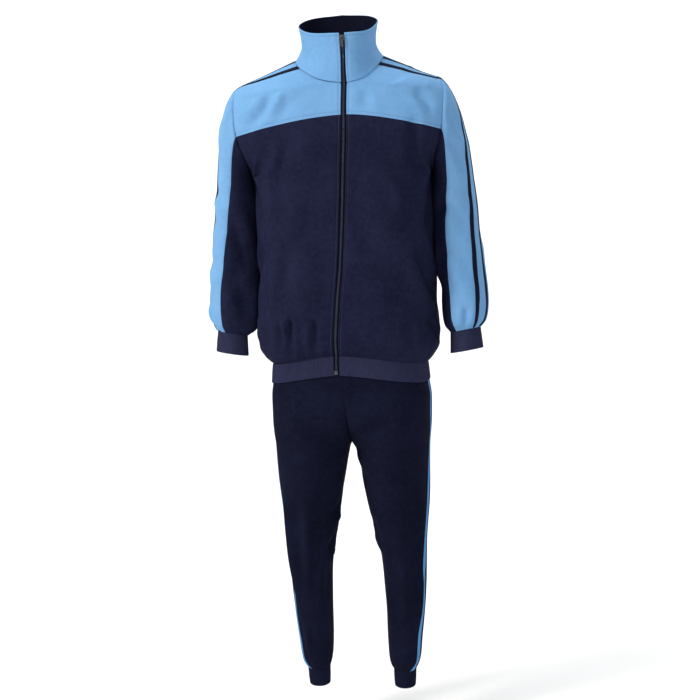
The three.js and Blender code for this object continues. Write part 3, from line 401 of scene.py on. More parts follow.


# Creases: each runs from (across 1, z1) to (across 2, z2), bowed sideways, and is a ridge
# (+) or a trough (-). `across` counts 0 at the zip or inseam, 1 at the side seam, 2 at the centre back.

CREASE = "side a1 z1 a2 z2 bow width height"
BODY_CREASES = rows(CREASE, [
    # the wearer's left front: pulled down and in from the armhole
    (1, 0.71, -130, 0.58, -300, 6, 15, -3.8), (1, 0.97, -215, 0.72, -410, 10, 14, -5.5),
    (1, 0.82, -225, 0.68, -330, -8, 10, 3.4), (1, 0.3, -250, 0.55, -365, 8, 14, 2.6),
    (1, 0.1, -350, 0.34, -530, 10, 18, -2.8), (1, 0.24, -400, 0.42, -590, -10, 18, 2.4),
    (1, 0.6, -380, 0.98, -575, -14, 17, -4.2), (1, 0.52, -430, 0.74, -600, 10, 15, 3.2),
    (1, 0.72, -585, 0.94, -655, 5, 9, -4.4), (1, 0.5, -585, 0.58, -655, 4, 9, -2.8),
    # the wearer's right front
    (-1, 0.6, -140, 0.58, -440, -6, 14, 3.2), (-1, 0.9, -225, 0.74, -420, -12, 14, -5.6),
    (-1, 0.82, -200, 0.76, -325, 4, 10, 4.0), (-1, 0.43, -400, 0.42, -590, 5, 14, -3.2),
    (-1, 0.3, -380, 0.24, -600, -8, 20, 2.4), (-1, 0.16, -280, 0.3, -440, 8, 20, -2.2),
    (-1, 0.36, -560, 0.355, -662, 3, 7, -4.6), (-1, 0.5, -580, 0.43, -655, -4, 8, -3.8),
    (-1, 0.15, -570, 0.14, -655, 2, 7, -3.6), (-1, 0.64, -400, 0.97, -590, 14, 16, -4.2),
    (-1, 0.72, -560, 0.8, -650, -5, 10, 3.4),
    # the yokes, pulled from the neck to the shoulder
    (1, 0.35, -62, 0.9, -80, 5, 12, 1.8), (-1, 0.3, -66, 0.85, -92, -6, 13, 2.0),
    (1, 0.66, -80, 0.92, -142, 8, 11, -2.6), (-1, 0.6, -76, 0.9, -150, -10, 10, -3.0),
    (-1, 0.5, -70, 0.66, -128, -6, 10, 2.2), (1, 0.2, -76, 0.16, -124, 3, 14, -1.6),
    # the back
    (1, 1.04, -230, 1.4, -400, -12, 14, -5.2), (1, 1.1, -230, 1.36, -320, 6, 11, 3.8),
    (-1, 1.04, -235, 1.36, -420, 12, 14, -5.4), (-1, 1.08, -236, 1.34, -340, -6, 11, 3.6),
    (1, 1.5, -160, 1.56, -380, 8, 18, -3.0), (-1, 1.46, -170, 1.58, -400, -8, 18, 3.0),
    (1, 1.84, -180, 1.8, -420, 6, 20, 2.4), (-1, 1.8, -230, 1.88, -470, -8, 20, -2.6),
    (1, 1.3, -420, 1.2, -620, 10, 16, 3.2), (-1, 1.28, -440, 1.16, -630, -10, 15, 3.4),
    (1, 1.62, -440, 1.7, -650, 8, 18, -3.2), (-1, 1.66, -430, 1.6, -660, -8, 17, -3.0),
    (1, 1.42, -590, 1.44, -690, 4, 8, -3.6), (-1, 1.38, -600, 1.36, -692, 4, 8, -3.8),
    (1, 1.86, -600, 1.88, -700, 3, 8, -3.6), (-1, 1.8, -596, 1.78, -696, -3, 8, -3.2),
    (1, 1.1, -560, 1.04, -660, 8, 11, -4.0), (-1, 1.12, -556, 1.05, -656, -8, 11, -4.0),
    (1, 1.3, 0, 1.5, -110, 8, 14, -2.2), (-1, 1.34, -6, 1.46, -116, -8, 14, -2.0),
])
SLEEVE_CREASES = rows(CREASE, [  # `across` is degrees round the arm from its front
    (1, -6, -180, 58, -262, 6, 12, -3.6), (1, 20, -110, 66, -190, -6, 12, -2.4),
    (1, -12, -330, 52, -400, 8, 11, -3.6), (1, -10, -300, 46, -350, -6, 11, 3.0),
    (1, -10, -430, 60, -496, 8, 12, -3.0), (1, 0, -480, 70, -540, -6, 12, 2.8),
    (1, 30, -556, 28, -616, 2, 6, -4.6), (1, 66, -540, 58, -616, 3, 7, -3.2),
    (1, 104, -150, 124, -330, 8, 18, 2.6), (1, 120, -330, 104, -540, -8, 16, -2.8),
    (1, -20, -300, -82, -430, 8, 13, -4.6), (1, -26, -400, -86, -560, 8, 14, -4.2),
    (1, -30, -350, -80, -470, -8, 11, 3.4), (1, 150, -260, 214, -380, 8, 14, -4.6),
    (1, 160, -340, 226, -440, -8, 12, 3.6), (1, 128, -400, 210, -470, 8, 12, -3.4),
    (1, 140, -500, 220, -560, -8, 13, 3.2), (1, 228, -430, 280, -560, 8, 14, -3.8),
    (-1, 26, -104, -4, -190, 6, 10, -3.6), (-1, 60, -120, 40, -230, -6, 12, 2.4),
    (-1, 62, -270, -4, -330, 5, 10, -3.8), (-1, 66, -300, 0, -356, -5, 9, 3.0),
    (-1, 54, -336, -2, -396, 5, 10, -3.2), (-1, 76, -430, 8, -480, 6, 11, -3.0),
    (-1, 70, -466, 0, -520, -6, 11, 2.8), (-1, 72, -566, 12, -618, 4, 8, -4.4),
    (-1, 40, -540, 20, -612, 3, 7, 3.0), (-1, -12, -360, -76, -494, -8, 13, -5.4),
    (-1, -36, -330, -84, -420, -6, 11, 4.2), (-1, -16, -440, -78, -604, -8, 14, -4.2),
    (-1, -24, -500, -70, -600, 6, 12, 3.2), (-1, 102, -150, 122, -320, -8, 18, 2.6),
    (-1, 118, -340, 100, -540, 8, 16, -2.8), (-1, 150, -270, 216, -370, -8, 14, -4.6),
    (-1, 156, -350, 224, -440, 8, 12, 3.6), (-1, 130, -410, 206, -476, -8, 12, -3.4),
    (-1, 140, -510, 216, -566, 8, 13, 3.0), (-1, 226, -420, 278, -570, -8, 14, -3.8),
])
LEG_CREASES = rows(CREASE, [
    # soft drags out of the crotch
    (1, 0.06, -866, 0.52, -822, 8, 13, -2.8), (1, 0.05, -905, 0.4, -950, -6, 13, 2.4),
    (-1, 0.05, -862, 0.5, -812, -8, 13, -3.0), (-1, 0.06, -905, 0.42, -958, 8, 14, 2.4),
    (1, 0.4, -790, 0.44, -1000, 8, 22, 2.4), (-1, 0.46, -780, 0.5, -1000, -8, 22, 2.6),
    (-1, 0.26, -930, 0.34, -1080, 6, 16, -2.4), (1, 0.24, -940, 0.34, -1100, -6, 18, -2.2),
    # the wearer's right leg falls in long soft folds from the knee
    (-1, 0.72, -960, 0.74, -1300, 6, 13, 3.4), (-1, 0.6, -980, 0.62, -1300, -6, 12, -3.2),
    (-1, 0.5, -1000, 0.52, -1190, 5, 11, 3.2), (-1, 0.38, -1020, 0.42, -1260, -5, 11, -3.6),
    (-1, 0.27, -1090, 0.3, -1340, 5, 11, 3.0), (-1, 0.86, -1080, 0.84, -1330, 5, 12, -2.6),
    (-1, 0.02, -1030, 0.24, -1062, -5, 10, -4.0), (-1, 0.02, -1062, 0.2, -1100, 5, 9, 3.6),
    (-1, 0.02, -1110, 0.26, -1156, -6, 11, -3.8), (-1, 0.03, -1146, 0.2, -1196, 5, 10, 2.8),
    # the left one is smoother
    (1, 0.66, -1000, 0.7, -1260, 6, 14, -2.4), (1, 0.52, -1040, 0.54, -1300, -5, 14, 2.4),
    (1, 0.36, -1100, 0.4, -1360, 5, 12, -2.4), (1, 0.04, -1070, 0.26, -1110, 5, 11, -3.0),
    (1, 0.04, -1110, 0.22, -1150, -5, 10, 2.4), (1, 0.8, -1180, 0.78, -1380, 5, 12, 2.2),
    (1, 0.2, -1240, 0.26, -1420, 5, 12, 2.2), (-1, 0.6, -1330, 0.56, -1440, 4, 10, 2.6),
    # behind: under the seat, behind the knees and down the calves
    (1, 1.93, -884, 1.5, -846, -8, 14, -3.4), (-1, 1.93, -880, 1.46, -840, 8, 14, -3.6),
    (1, 1.5, -780, 1.56, -980, 8, 20, 2.6), (-1, 1.52, -790, 1.5, -990, -8, 20, 2.4),
    (1, 1.3, -1088, 1.72, -1122, 8, 12, -2.8), (-1, 1.26, -1080, 1.66, -1110, -8, 12, -3.0),
    (1, 1.78, -1120, 1.44, -1160, -8, 11, 2.6), (-1, 1.74, -1112, 1.4, -1156, 6, 11, 2.8),
    (1, 1.64, -1130, 1.6, -1380, 6, 13, -2.8), (-1, 1.6, -1140, 1.66, -1390, -6, 13, -2.8),
    (1, 1.38, -1160, 1.36, -1400, 6, 13, 2.6), (-1, 1.36, -1150, 1.4, -1380, -6, 13, 2.4),
    (1, 1.84, -980, 1.78, -1090, 5, 14, 2.2), (-1, 1.84, -990, 1.78, -1100, 5, 14, 2.2),
])
# How many times deeper and broader than in its table each form's creases are
BODY_CREASING, SLEEVE_CREASING, LEG_CREASING = (2.3, 1.25), (1.5, 1.5), (1.8, 1.4)


def creases(table, side, across, z, across_mm, deep, broad, turns=(0,)):
    """Height of the creases on one side of the suit, `deep` and `broad` times the table's."""
    height = np.zeros(np.broadcast(across, z).shape)
    for i in np.flatnonzero(table["side"] == side):
        a1, z1, a2, z2, bow, width, high = (table[name][i] for name in CREASE.split()[1:])
        for turn in turns:
            da, dz = (a2 - a1) * across_mm, z2 - z1
            pa, pz = (across + turn - a1) * across_mm, z - z1
            length = np.hypot(da, dz)
            t = (pa * da + pz * dz) / length**2
            off = (pz * da - pa * dz) / length - bow * 4 * t * (1 - t)
            off = off / (broad * width * (0.8 + 0.4 * np.clip(t, 0, 1)))
            # Beside a fold the cloth gives the other way, a little unevenly
            beside = 0.35 * np.exp(-((off - 1.9) ** 2)) + 0.3 * np.exp(-((off + 1.8) ** 2))
            height += deep * high * (np.exp(-(off**2)) - beside) * smooth(t / 0.3) * smooth((1 - t) / 0.4)
    return height


# Slack in the cloth: long soft waves through space, so that neighbouring pieces share them
SLACK = rows("x y z phase height", [
    (0.021, 0.008, 0.013, 0.4, 0.9), (-0.012, 0.017, 0.024, 2.1, 0.7), (0.034, -0.02, 0.011, 4.0, 0.5),
    (0.009, 0.03, -0.035, 1.3, 0.45), (0.05, 0.01, 0.042, 5.2, 0.28),
])


def slack(place):
    """How far the slack lifts the cloth at each place."""
    height = 0
    for x, y, z, phase, high in zip(*SLACK.values()):
        height = height + high * np.sin(place[..., 0] * x + place[..., 1] * y + place[..., 2] * z + phase)
    return height


def gathers(across_mm, seed, spacing, high, low_share):
    """Uneven gathers along a seam: a height for each place across it, and how far each one reaches."""
    chance = np.random.default_rng(seed)
    total = across_mm.max() - across_mm.min()
    height, reach = np.zeros_like(across_mm), np.zeros_like(across_mm)
    at = across_mm.min() + spacing * chance.uniform(0.3, 0.9)
    while at < across_mm.min() + total:
        width = spacing * chance.uniform(0.26, 0.42)
        one = np.exp(-(((across_mm - at) / width) ** 2))
        size = chance.uniform(low_share, 1)
        height += high * size * one
        reach = np.maximum(reach, one * chance.uniform(0.45, 1))
        at += spacing * chance.uniform(0.7, 1.4)
    return height - high * 0.45, reach


# Meshes


def new_object(name, data):
    obj = bpy.data.objects.new(name, data)
    bpy.context.scene.collection.objects.link(obj)
    return obj


def mesh_object(name, place, faces, uv, material):
    """A mesh from millimetres; `uv` is millimetres along the cloth for each corner of each face."""
    mesh = bpy.data.meshes.new(name)
    mesh.from_pydata((place * MM).tolist(), [], faces.tolist())
    if uv is not None:
        layer = mesh.uv_layers.new(name="Cloth")
        layer.data.foreach_set("uv", (uv * MM).astype(np.float32).ravel())
    mesh.validate()
    mesh.shade_smooth()
    mesh.set_sharp_from_angle(angle=math.radians(55))
    mesh.materials.append(material)
    return new_object(name, mesh)


made = {}


def shell(name, grid, sign, thick, material, height, closed=False, rounded=0.0):
    """A thin closed cloth, grown inwards from a grid of points on its outer face. `height` lifts it off
    the form. A closed grid meets itself. `rounded` is taken off both faces, as towards a free edge."""
    levels, columns = grid.shape[:2]
    index = np.arange(levels * columns).reshape(levels, columns)
    if closed:
        ring = np.concatenate([grid[:, -1:], grid, grid[:, :1]], axis=1)
        face = normals_of(ring, sign)[:, 1:-1]
        index = np.concatenate([index, index[:, :1]], axis=1)
    else:
        face = normals_of(grid, sign)
    rounded = np.broadcast_to(rounded, (levels, columns))[..., None]
    outer = grid + face * (np.broadcast_to(height, (levels, columns))[..., None] - rounded)
    inner = (outer - face * (thick - 2 * rounded)).reshape(-1, 3)
    outer = outer.reshape(-1, 3)
    own = np.stack([index[:-1, :-1], index[:-1, 1:], index[1:, 1:], index[1:, :-1]], -1).reshape(-1, 4)
    own = own[:, ::sign]
    # Points that fall together become one
    key = np.round(outer / 0.05).astype(np.int64)
    _, first, same = np.unique(key, axis=0, return_index=True, return_inverse=True)
    outer, inner = outer[first], inner[first]
    quads, count = same.ravel()[own], len(first)
    # An edge that no other face runs along backwards is on the border, where a wall joins the two faces
    start, finish = quads.ravel(), np.roll(quads, -1, axis=1).ravel()
    border = ~np.isin(start * count + finish, finish * count + start) & (start != finish)
    a, b = start[border], finish[border]
    own_a, own_b = own.ravel()[border], np.roll(own, -1, axis=1).ravel()[border]
    faces = np.concatenate([quads, quads[:, ::-1] + count, np.stack([b, a, a + count, b + count], -1)])
    corners = np.concatenate([own, own[:, ::-1], np.stack([own_b, own_a, own_a, own_b], -1)])
    places = np.stack([distance_in(grid, 1), distance_in(grid, 0)], -1).reshape(-1, 2)
    uv = places[corners].reshape(-1, 2)
    made[name] = mesh_object(name, np.concatenate([outer, inner]), faces, uv, material)
    return made[name]


NEAR_SEAM = (0.8, 1.8, 3.2)  # extra grid lines this far from a sewn edge
NEAR_EDGE = (0.3, 0.8, 1.6)  # and from a free one
NEAR_STITCHES = (0.8, 1.8, 3, 4.2, 5, 6, 7, 8, 9.4)  # and from one with a row of stitches beside it
CLOSEST = 0.2  # a grid line nearer than this to the one before is left out


def levels_on(line_at, first, last, spacing, start=NEAR_SEAM, end=NEAR_SEAM):
    """Values from first to last, about `spacing` mm apart on the line, with extra ones near its ends."""
    coarse = np.linspace(first, last, 240)
    lengths = distance_in(line_at(coarse)[None], 1)[0]
    total = lengths[-1]
    marks = list(np.linspace(0, total, max(int(total / spacing), 2) + 1))
    marks = np.sort(marks + list(start) + list(total - np.array(end)))
    marks = marks[np.insert(np.diff(marks) > CLOSEST, 0, True)]
    return np.interp(marks, lengths, coarse)


def shares_of(length, spacing, start=NEAR_SEAM, end=NEAR_SEAM):
    """Shares of a length, about `spacing` mm apart, with extra ones near its ends."""
    return levels_on(lambda t: points(t * length, 0, 0), 0.0, 1.0, spacing, start, end)


def seam_dip(grid, sewn, deep=0.55, wide=2.2):
    """The cloth turns in at a sewn edge. `sewn` is left, right, first and last, as true or false."""
    across, down = distance_in(grid, 1), distance_in(grid, 0)
    away = [across, across[:, -1:] - across, down, down[-1:] - down]
    return -sum(deep * np.exp(-((one / wide) ** 2)) for one, on in zip(away, sewn) if on)


def groove(away, at, deep=0.8, wide=1.7):
    """A row of stitches draws the cloth in, `at` mm from an edge."""
    return -deep * np.exp(-(((away - at) / wide) ** 2))


surfaces = {}


def line_in(name, edge, away, first=0, last=None):
    """A line on a panel, `away` mm from one of its edges, and the way that the panel faces there.
    `away` is one distance, or one for each grid line that it crosses."""
    outer, face = surfaces[name]
    if edge in ("first", "last"):
        outer, face = outer.transpose(1, 0, 2), face.transpose(1, 0, 2)
    if edge in ("last", "right"):
        outer, face = outer[:, ::-1], face[:, ::-1]
    lengths = distance_in(outer, 1)
    aways = np.broadcast_to(away, len(outer))
    found = []
    for lines in (outer, face):
        line = [[np.interp(at, one, row[:, k]) for k in range(3)]
                for at, one, row in zip(aways, lengths, lines)]
        found.append(np.array(line)[first:last])
    return found


# Materials


def linear(hex_colour, bright=1.0):
    """sRGB hex to linear colour, `bright` times as bright."""
    parts = [int(hex_colour[i:i + 2], 16) / 255 for i in (0, 2, 4)]
    return [bright * (c / 12.92 if c <= 0.04045 else ((c + 0.055) / 1.055) ** 2.4) for c in parts] + [1.0]


def add(tree, kind, output, links, **settings):
    """Adds a node and gives one of its outputs. Each link is a value or another node's output."""
    node = tree.nodes.new(kind)
    for name, value in settings.items():
        setattr(node, name, value)
    for name, value in links.items():
        if isinstance(value, bpy.types.NodeSocket):
            tree.links.new(value, node.inputs[name])
        else:
            node.inputs[name].default_value = value
    return node.outputs[output] if output else node


def start_material(name):
    """A new material, its tree of nodes, and the place in space that its patterns go by."""
    material = bpy.data.materials.new(name)
    material.use_nodes = True
    tree = material.node_tree
    tree.nodes.clear()
    return material, tree, add(tree, "ShaderNodeTexCoord", "Object", {})


def noise(tree, space, scale, detail, roughness=0.5):
    return add(tree, "ShaderNodeTexNoise", "Fac", {
        "Vector": space, "Scale": scale, "Detail": detail, "Roughness": roughness})


def wave(tree, place, scale, direction, distortion, detail=2.0, detail_scale=1.0):
    return add(tree, "ShaderNodeTexWave", "Fac", {
        "Vector": place, "Scale": scale, "Distortion": distortion, "Detail": detail,
        "Detail Scale": detail_scale}, bands_direction=direction)


def spread(tree, value, low, high, top=1.0):
    """Stretches what lies between low and high over 0 to `top`."""
    return add(tree, "ShaderNodeMapRange", "Result", {
        "Value": value, "From Min": low, "From Max": high, "To Max": top})


def blend(tree, factor, a, b, kind="RGBA"):
    return add(tree, "ShaderNodeMix", "Result", {"Factor": factor, "A": a, "B": b}, data_type=kind)


def bump_node(tree, height, strength, distance, **normal):
    """Bumps `distance` mm high, on those that a given Normal already has."""
    return add(tree, "ShaderNodeBump", "Normal", {
        "Height": height, "Strength": strength, "Distance": distance * MM, **normal})


def surface(tree, links):
    shader = add(tree, "ShaderNodeBsdfPrincipled", "BSDF", links)
    add(tree, "ShaderNodeOutputMaterial", None, {"Surface": shader})


def knit(name, colour, dark, wale, course, nap, roughness=0.93, sheen=0.0):
    """A knitted cloth: columns of stitches `wale` mm apart, rows `course` mm apart, under a soft nap."""
    material, tree, space = start_material(name)
    cloth = add(tree, "ShaderNodeUVMap", "UV", {}, uv_map="Cloth")
    # A wave of scale 1 repeats every pi / 10 units
    wales = wave(tree, cloth, math.pi / 10 / (wale * MM), "X", 0.6, 1.0, 2.0)
    courses = wave(tree, cloth, math.pi / 10 / (course * MM), "Y", 0.8, 1.0, 2.0)
    stitch = add(tree, "ShaderNodeMath", "Value", {0: wales, 1: courses}, operation="MULTIPLY")
    # The nap is mottled and worn in patches
    mottle, patches = noise(tree, space, 95.0, 5.0, 0.62), noise(tree, space, 11.0, 3.0)
    worn = spread(tree, blend(tree, 0.45, mottle, patches, "FLOAT"), 0.36, 0.64)
    base = blend(tree, worn, linear(dark), linear(colour))
    # Painted shade: the hollows between stitches are darkened a little, where shade falls in them
    base = blend(tree, spread(tree, stitch, 0.0, 0.7), linear(dark, 0.86), base)
    thread = bump_node(tree, stitch, 0.5, 0.35)
    fuzz = bump_node(tree, noise(tree, space, 620.0, 3.0, 0.7), nap, 0.5, Normal=thread)
    surface(tree, {"Base Color": base, "Roughness": roughness, "Normal": fuzz, "Sheen Weight": sheen,
                   "Sheen Roughness": 0.45, "Specular IOR Level": 0.03})
    return material


def sewing_thread(name, colour):
    """Polyester thread of two twisted plies, with a faint diagonal gloss painted into its colour as bands of
    painted shade.
    """
    material, tree, space = start_material(name)
    plies = wave(tree, space, 420.0, "DIAGONAL", 1.0)
    # Painted gloss and shade: the colour falls to 0.7 of itself in diagonal bands along the plies
    shade = blend(tree, plies, linear(colour, 0.7), linear(colour))
    surface(tree, {"Base Color": shade, "Roughness": 0.5, "Sheen Weight": 0.15})
    return material


def zip_metal(name, colour, bright, roughness, metallic):
    """A dark finish, rubbed brighter on its high spots."""
    material, tree, space = start_material(name)
    wear = noise(tree, space, 900.0, 4.0)
    base = blend(tree, spread(tree, wear, 0.4, 0.7, 0.5), linear(colour), linear(bright))
    surface(tree, {"Base Color": base, "Roughness": roughness, "Metallic": metallic,
                   "Normal": bump_node(tree, wear, 0.2, 0.1)})
    return material


# Fleece-backed jersey: its brushed nap takes the gloss away and makes the colour soft and mottled. Real
# wales lie about 1 mm apart; they are drawn at 1.8 mm so that they show
NAVY_JERSEY = knit("navy_fleece_jersey", "30334f", "191b32", 1.8, 2.0, 0.5)
NAVY_TROUSER = knit("navy_trouser_jersey", "21243d", "0f1223", 1.8, 2.0, 0.5)
BLUE_JERSEY = knit("light_blue_fleece_jersey", "8ab6df", "6ea2d2", 1.8, 2.0, 0.45, sheen=0.05)
# The collar's facing is a finer, flatter knit; its colour is darkened with painted shade, for the shade
# inside the collar
NAVY_LINING_PAINTED_SHADE = knit("navy_collar_facing_painted_shade", "171a2c", "0f1120", 1.6, 1.8, 0.25)
# Rib knit: its ribs are modelled, so only the courses and the nap are in the material
NAVY_RIB = knit("navy_rib_knit", "3c3e5a", "2c2e47", 1.2, 1.5, 0.4)
TROUSER_RIB = knit("navy_trouser_rib_knit", "20233b", "14172b", 1.2, 1.5, 0.4)
# Stripe tape: a close warp knit, flatter and a little glossier than the jersey
NAVY_TAPE = knit("navy_stripe_tape", "1c1f36", "151829", 1.1, 2.4, 0.15, roughness=0.75)
BLUE_TAPE = knit("blue_stripe_tape", "6ba2d6", "568cc2", 1.1, 2.4, 0.15, roughness=0.75)
# The zip's tape is a tight weave without nap, which looks plain and even
ZIP_TAPE = knit("woven_zip_tape", "171a2d", "101322", 0.9, 1.1, 0.1, roughness=0.8)
# Sewing thread in the cloth's colour, a shade darker, so that a row of it reads as small dashes
NAVY_THREAD = sewing_thread("navy_sewing_thread", "12141f")
BLUE_THREAD = sewing_thread("blue_sewing_thread", "4a80bd")
# The slider, its tab and the box are cast zinc, dark with brighter rubbed spots. The teeth are enamelled
# navy, which dulls them
METAL = zip_metal("dark_zinc", "46474c", "9b9a9b", 0.4, 0.9)
TEETH = zip_metal("zip_teeth_enamel", "34384b", "6b7086", 0.5, 0.4)

# Each piece of cloth: its shell, and what it stands for

SIDES = {1: "left", -1: "right"}  # the wearer's left is at +X
PARTS = ("front", "back")
HALF_WIDTH = 285  # mm of cloth from the zip to the side seam
HEM_GATHER, HEM_GATHER_SPACING = 3.0, 31
ZIP_STITCH = 5.0  # from a front's edge to the stitching beside the zip
YOKE_STITCH = 7.0  # from the yoke's seam to its topstitching
RIM_STITCH = 7.0  # from the collar's rim to its topstitching
THIN, RIB_THIN = 0.8, 0.64  # share of its solid's wall that a shell has, so that it stays clear behind
JACKET_CELL, SLEEVE_CELL, LEG_CELL, RIB_CELL = 4.5, 4.2, 4.6, 3.5  # mm between grid lines


def dress(obj, node, body="suit"):
    """Gives a piece its body, and hides the solid that it stands for."""
    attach(obj, body)
    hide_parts(node)
    return obj


def open_to_side(grid, sign):
    """1, and less where a panel turns straight in towards the middle of the body, as at the crotch."""
    face = normals_of(grid, sign)
    inward = -face[..., 0] * np.sign(grid[..., 0])
    return 1 - smooth((inward - 0.15) / 0.3)


def panel(node, grid, sign, height, material, seams=(True, True, True, True)):
    """One sewn panel, whose edges turn in where it is sewn on. `seams` is left, right, first and last."""
    name = node + "_cloth"
    height = height + seam_dip(grid, seams) * open_to_side(grid, sign)
    face = normals_of(grid, sign)
    surfaces[name] = (grid + face * height[..., None], face)
    dress(shell(name, grid, sign, JERSEY * THIN, material, height), node)


def strip(node, grid, face, lift, material):
    """A narrow tape sewn flat on a panel, whose face it follows."""
    agree = (normals_of(grid, 1) * face).sum(-1).mean()
    edge = np.minimum(distance_in(grid, 0), distance_in(grid[::-1], 0)[::-1])
    edge = np.minimum(edge, distance_in(grid, 1))
    edge = np.minimum(edge, distance_in(grid[:, ::-1], 1)[:, ::-1])
    # Its stitched edges lie lower than its middle
    lift = lift - 0.3 * np.exp(-(edge / 0.8) ** 2)
    dress(shell(node + "_tape", grid, 1 if agree > 0 else -1, STRIPE, material, lift), node)


# Jacket body


def body_height(grid, row, share, side, is_back):
    across = 2 - share if is_back else share
    height = creases(BODY_CREASES, side, across[None, :], grid[..., 2], HALF_WIDTH, *BODY_CREASING)
    height = height + slack(grid) * smooth(-grid[..., 2] / 80)
    # The cloth lies calm beside the armhole's seam
    to_side = (1 - share) * HALF_WIDTH
    height = height * mix(1, smooth(to_side / 20)[None, :], smooth((row - ARMHOLE_ROW) / 0.6)[:, None])
    # Gathers rise from the hem band, each as far up as it happens to reach; `up` is mm above the band
    up = np.interp(row, [0, 1, 2, 3, 9], [0, 16, 46, 118, 560])[:, None]
    bump, reach = gathers(share * HALF_WIDTH, 11 + side + 5 * is_back, HEM_GATHER_SPACING, HEM_GATHER, 0.35)
    bump = bump * smooth(to_side / 14) * (1 if is_back else smooth(share * HALF_WIDTH / 14))
    fade = smooth(up / 12) * 0.85 * (1 - smooth((up - 12) / (30 + 70 * reach)[None, :]))
    return height + bump[None, :] * fade


def body_grid(side, is_back, first, last):
    def line(row):
        return body_points(row, np.array([0.5]), side, is_back)[:, 0]

    row = levels_on(line, first, last, JACKET_CELL, NEAR_STITCHES if first == YOKE_ROW else NEAR_SEAM)
    share = shares_of(HALF_WIDTH, JACKET_CELL, () if is_back else NEAR_STITCHES)
    grid = body_points(row, share, side, is_back)
    height = body_height(grid, row, share, side, is_back)
    if first == YOKE_ROW:
        height = height + groove(distance_in(grid, 0), YOKE_STITCH)
    return grid, height


def zip_fold(from_zip):
    """The cloth folds under at the zip, and the stitching beside it draws it in."""
    return groove(from_zip, 0, 0.9, 0.9) + groove(from_zip, ZIP_STITCH)


for first, end, back_end, part, material, slot in (
        (0, YOKE_ROW, YOKE_ROW, "", NAVY_JERSEY, "jersey_navy"),
        (YOKE_ROW, FRONT_END_ROW, BACK_END_ROW, "yoke_", BLUE_JERSEY, "jersey_blue")):
    for side, name in SIDES.items():
        grid, height = body_grid(side, False, first, end)
        height = height + zip_fold(distance_in(grid, 1))
        panel(f"{part}front_{name}", grid, side, height, material, (False, True, True, True))
    # The back is one panel from side to side: the wearer's left half comes first
    halves = [body_grid(side, True, first, back_end) for side in SIDES]
    grid, height = (np.concatenate([left[:, ::-1], right[:, 1:]], axis=1) for left, right in zip(*halves))
    panel(part + "back", grid, 1, height, material)

# The stripes over each shoulder, between rows of the front yoke
SHOULDER_STRIPES = {"front": (13, 14), "back": (15, 16)}
for side, name in SIDES.items():
    for part, (first, last) in SHOULDER_STRIPES.items():
        row = np.linspace(first, last, 6)
        share = np.linspace(0.004, 0.996, 60)
        grid = body_points(row, share, side, False)
        lift = body_height(grid, row, share, side, False) + SEAM + STRIPE
        strip(f"shoulder_stripe_{part}_{name}", grid, normals_of(grid, side), lift, NAVY_TAPE)

# Sleeves

CUFF_GATHER, CUFF_GATHER_SPACING = 2.6, 19
MM_A_DEGREE = 0.93  # of the sleeve, at its widest
# Each sleeve rests against the body from here down to its foot, and reaches a little past the body's side
REST_TOP, REST_FOOT, REST_FADE = -250, {1: -500, -1: -600}, 60
REST_BULGE = 3.5
SMOOTHEST_TURN, SMOOTHEST_SPREAD = 82, 30  # degrees round the arm where its outside hangs smoothest


def sleeve_height(grid, turn, side):
    z = grid[..., 2]
    height = creases(SLEEVE_CREASES, side, turn, z, MM_A_DEGREE, *SLEEVE_CREASING, turns=(0, 360, -360))
    height = height + slack(grid)
    # It fills out towards the body, and lies flat where the two touch
    facing = np.maximum(cos(turn - side * read(SLEEVE_ROWS, "turn", z) + 90), 0)
    apart = read(SLEEVE_ROWS, "x", z) - read(SLEEVE_ROWS, "width", z)
    apart = apart - np.interp(-z, -BODY_ROWS["sideZ"][:8], BODY_ROWS["side"][:8])
    rests = smooth((REST_TOP - z) / REST_FADE) * smooth((z - REST_FOOT[side]) / REST_FADE + 0.5)
    height = mix(height, np.maximum(apart, 0) + REST_BULGE, np.minimum(1.6 * facing**6, 1) * rests)
    # Its outside hangs smoothest, and it lies calm beside the armhole's seam
    outside = np.exp(-(((turn - SMOOTHEST_TURN) / SMOOTHEST_SPREAD) ** 2))
    height = height * (1 - 0.55 * outside) * smooth(distance_in(grid, 0) / 22)
    ring = np.linspace(SLEEVE_SEAM_FRONT, SLEEVE_SEAM_FRONT + 360, 361)
    bump, reach = gathers(ring * MM_A_DEGREE, 40 + side, CUFF_GATHER_SPACING, CUFF_GATHER, 0.4)
    bump, reach = (np.interp(turn, ring, value) for value in (bump, reach))
    up = z - SLEEVE_FOOT
    fade = smooth((up - 1) / 9) * (1 - smooth((up - 14) / (16 + 46 * reach)))
    return height + bump * fade


def sleeve_grid(share, turn, side):
    grid = sleeve_points(share[:, None], turn, side)
    return grid, sleeve_height(grid, np.broadcast_to(turn, grid.shape[:2]), side)


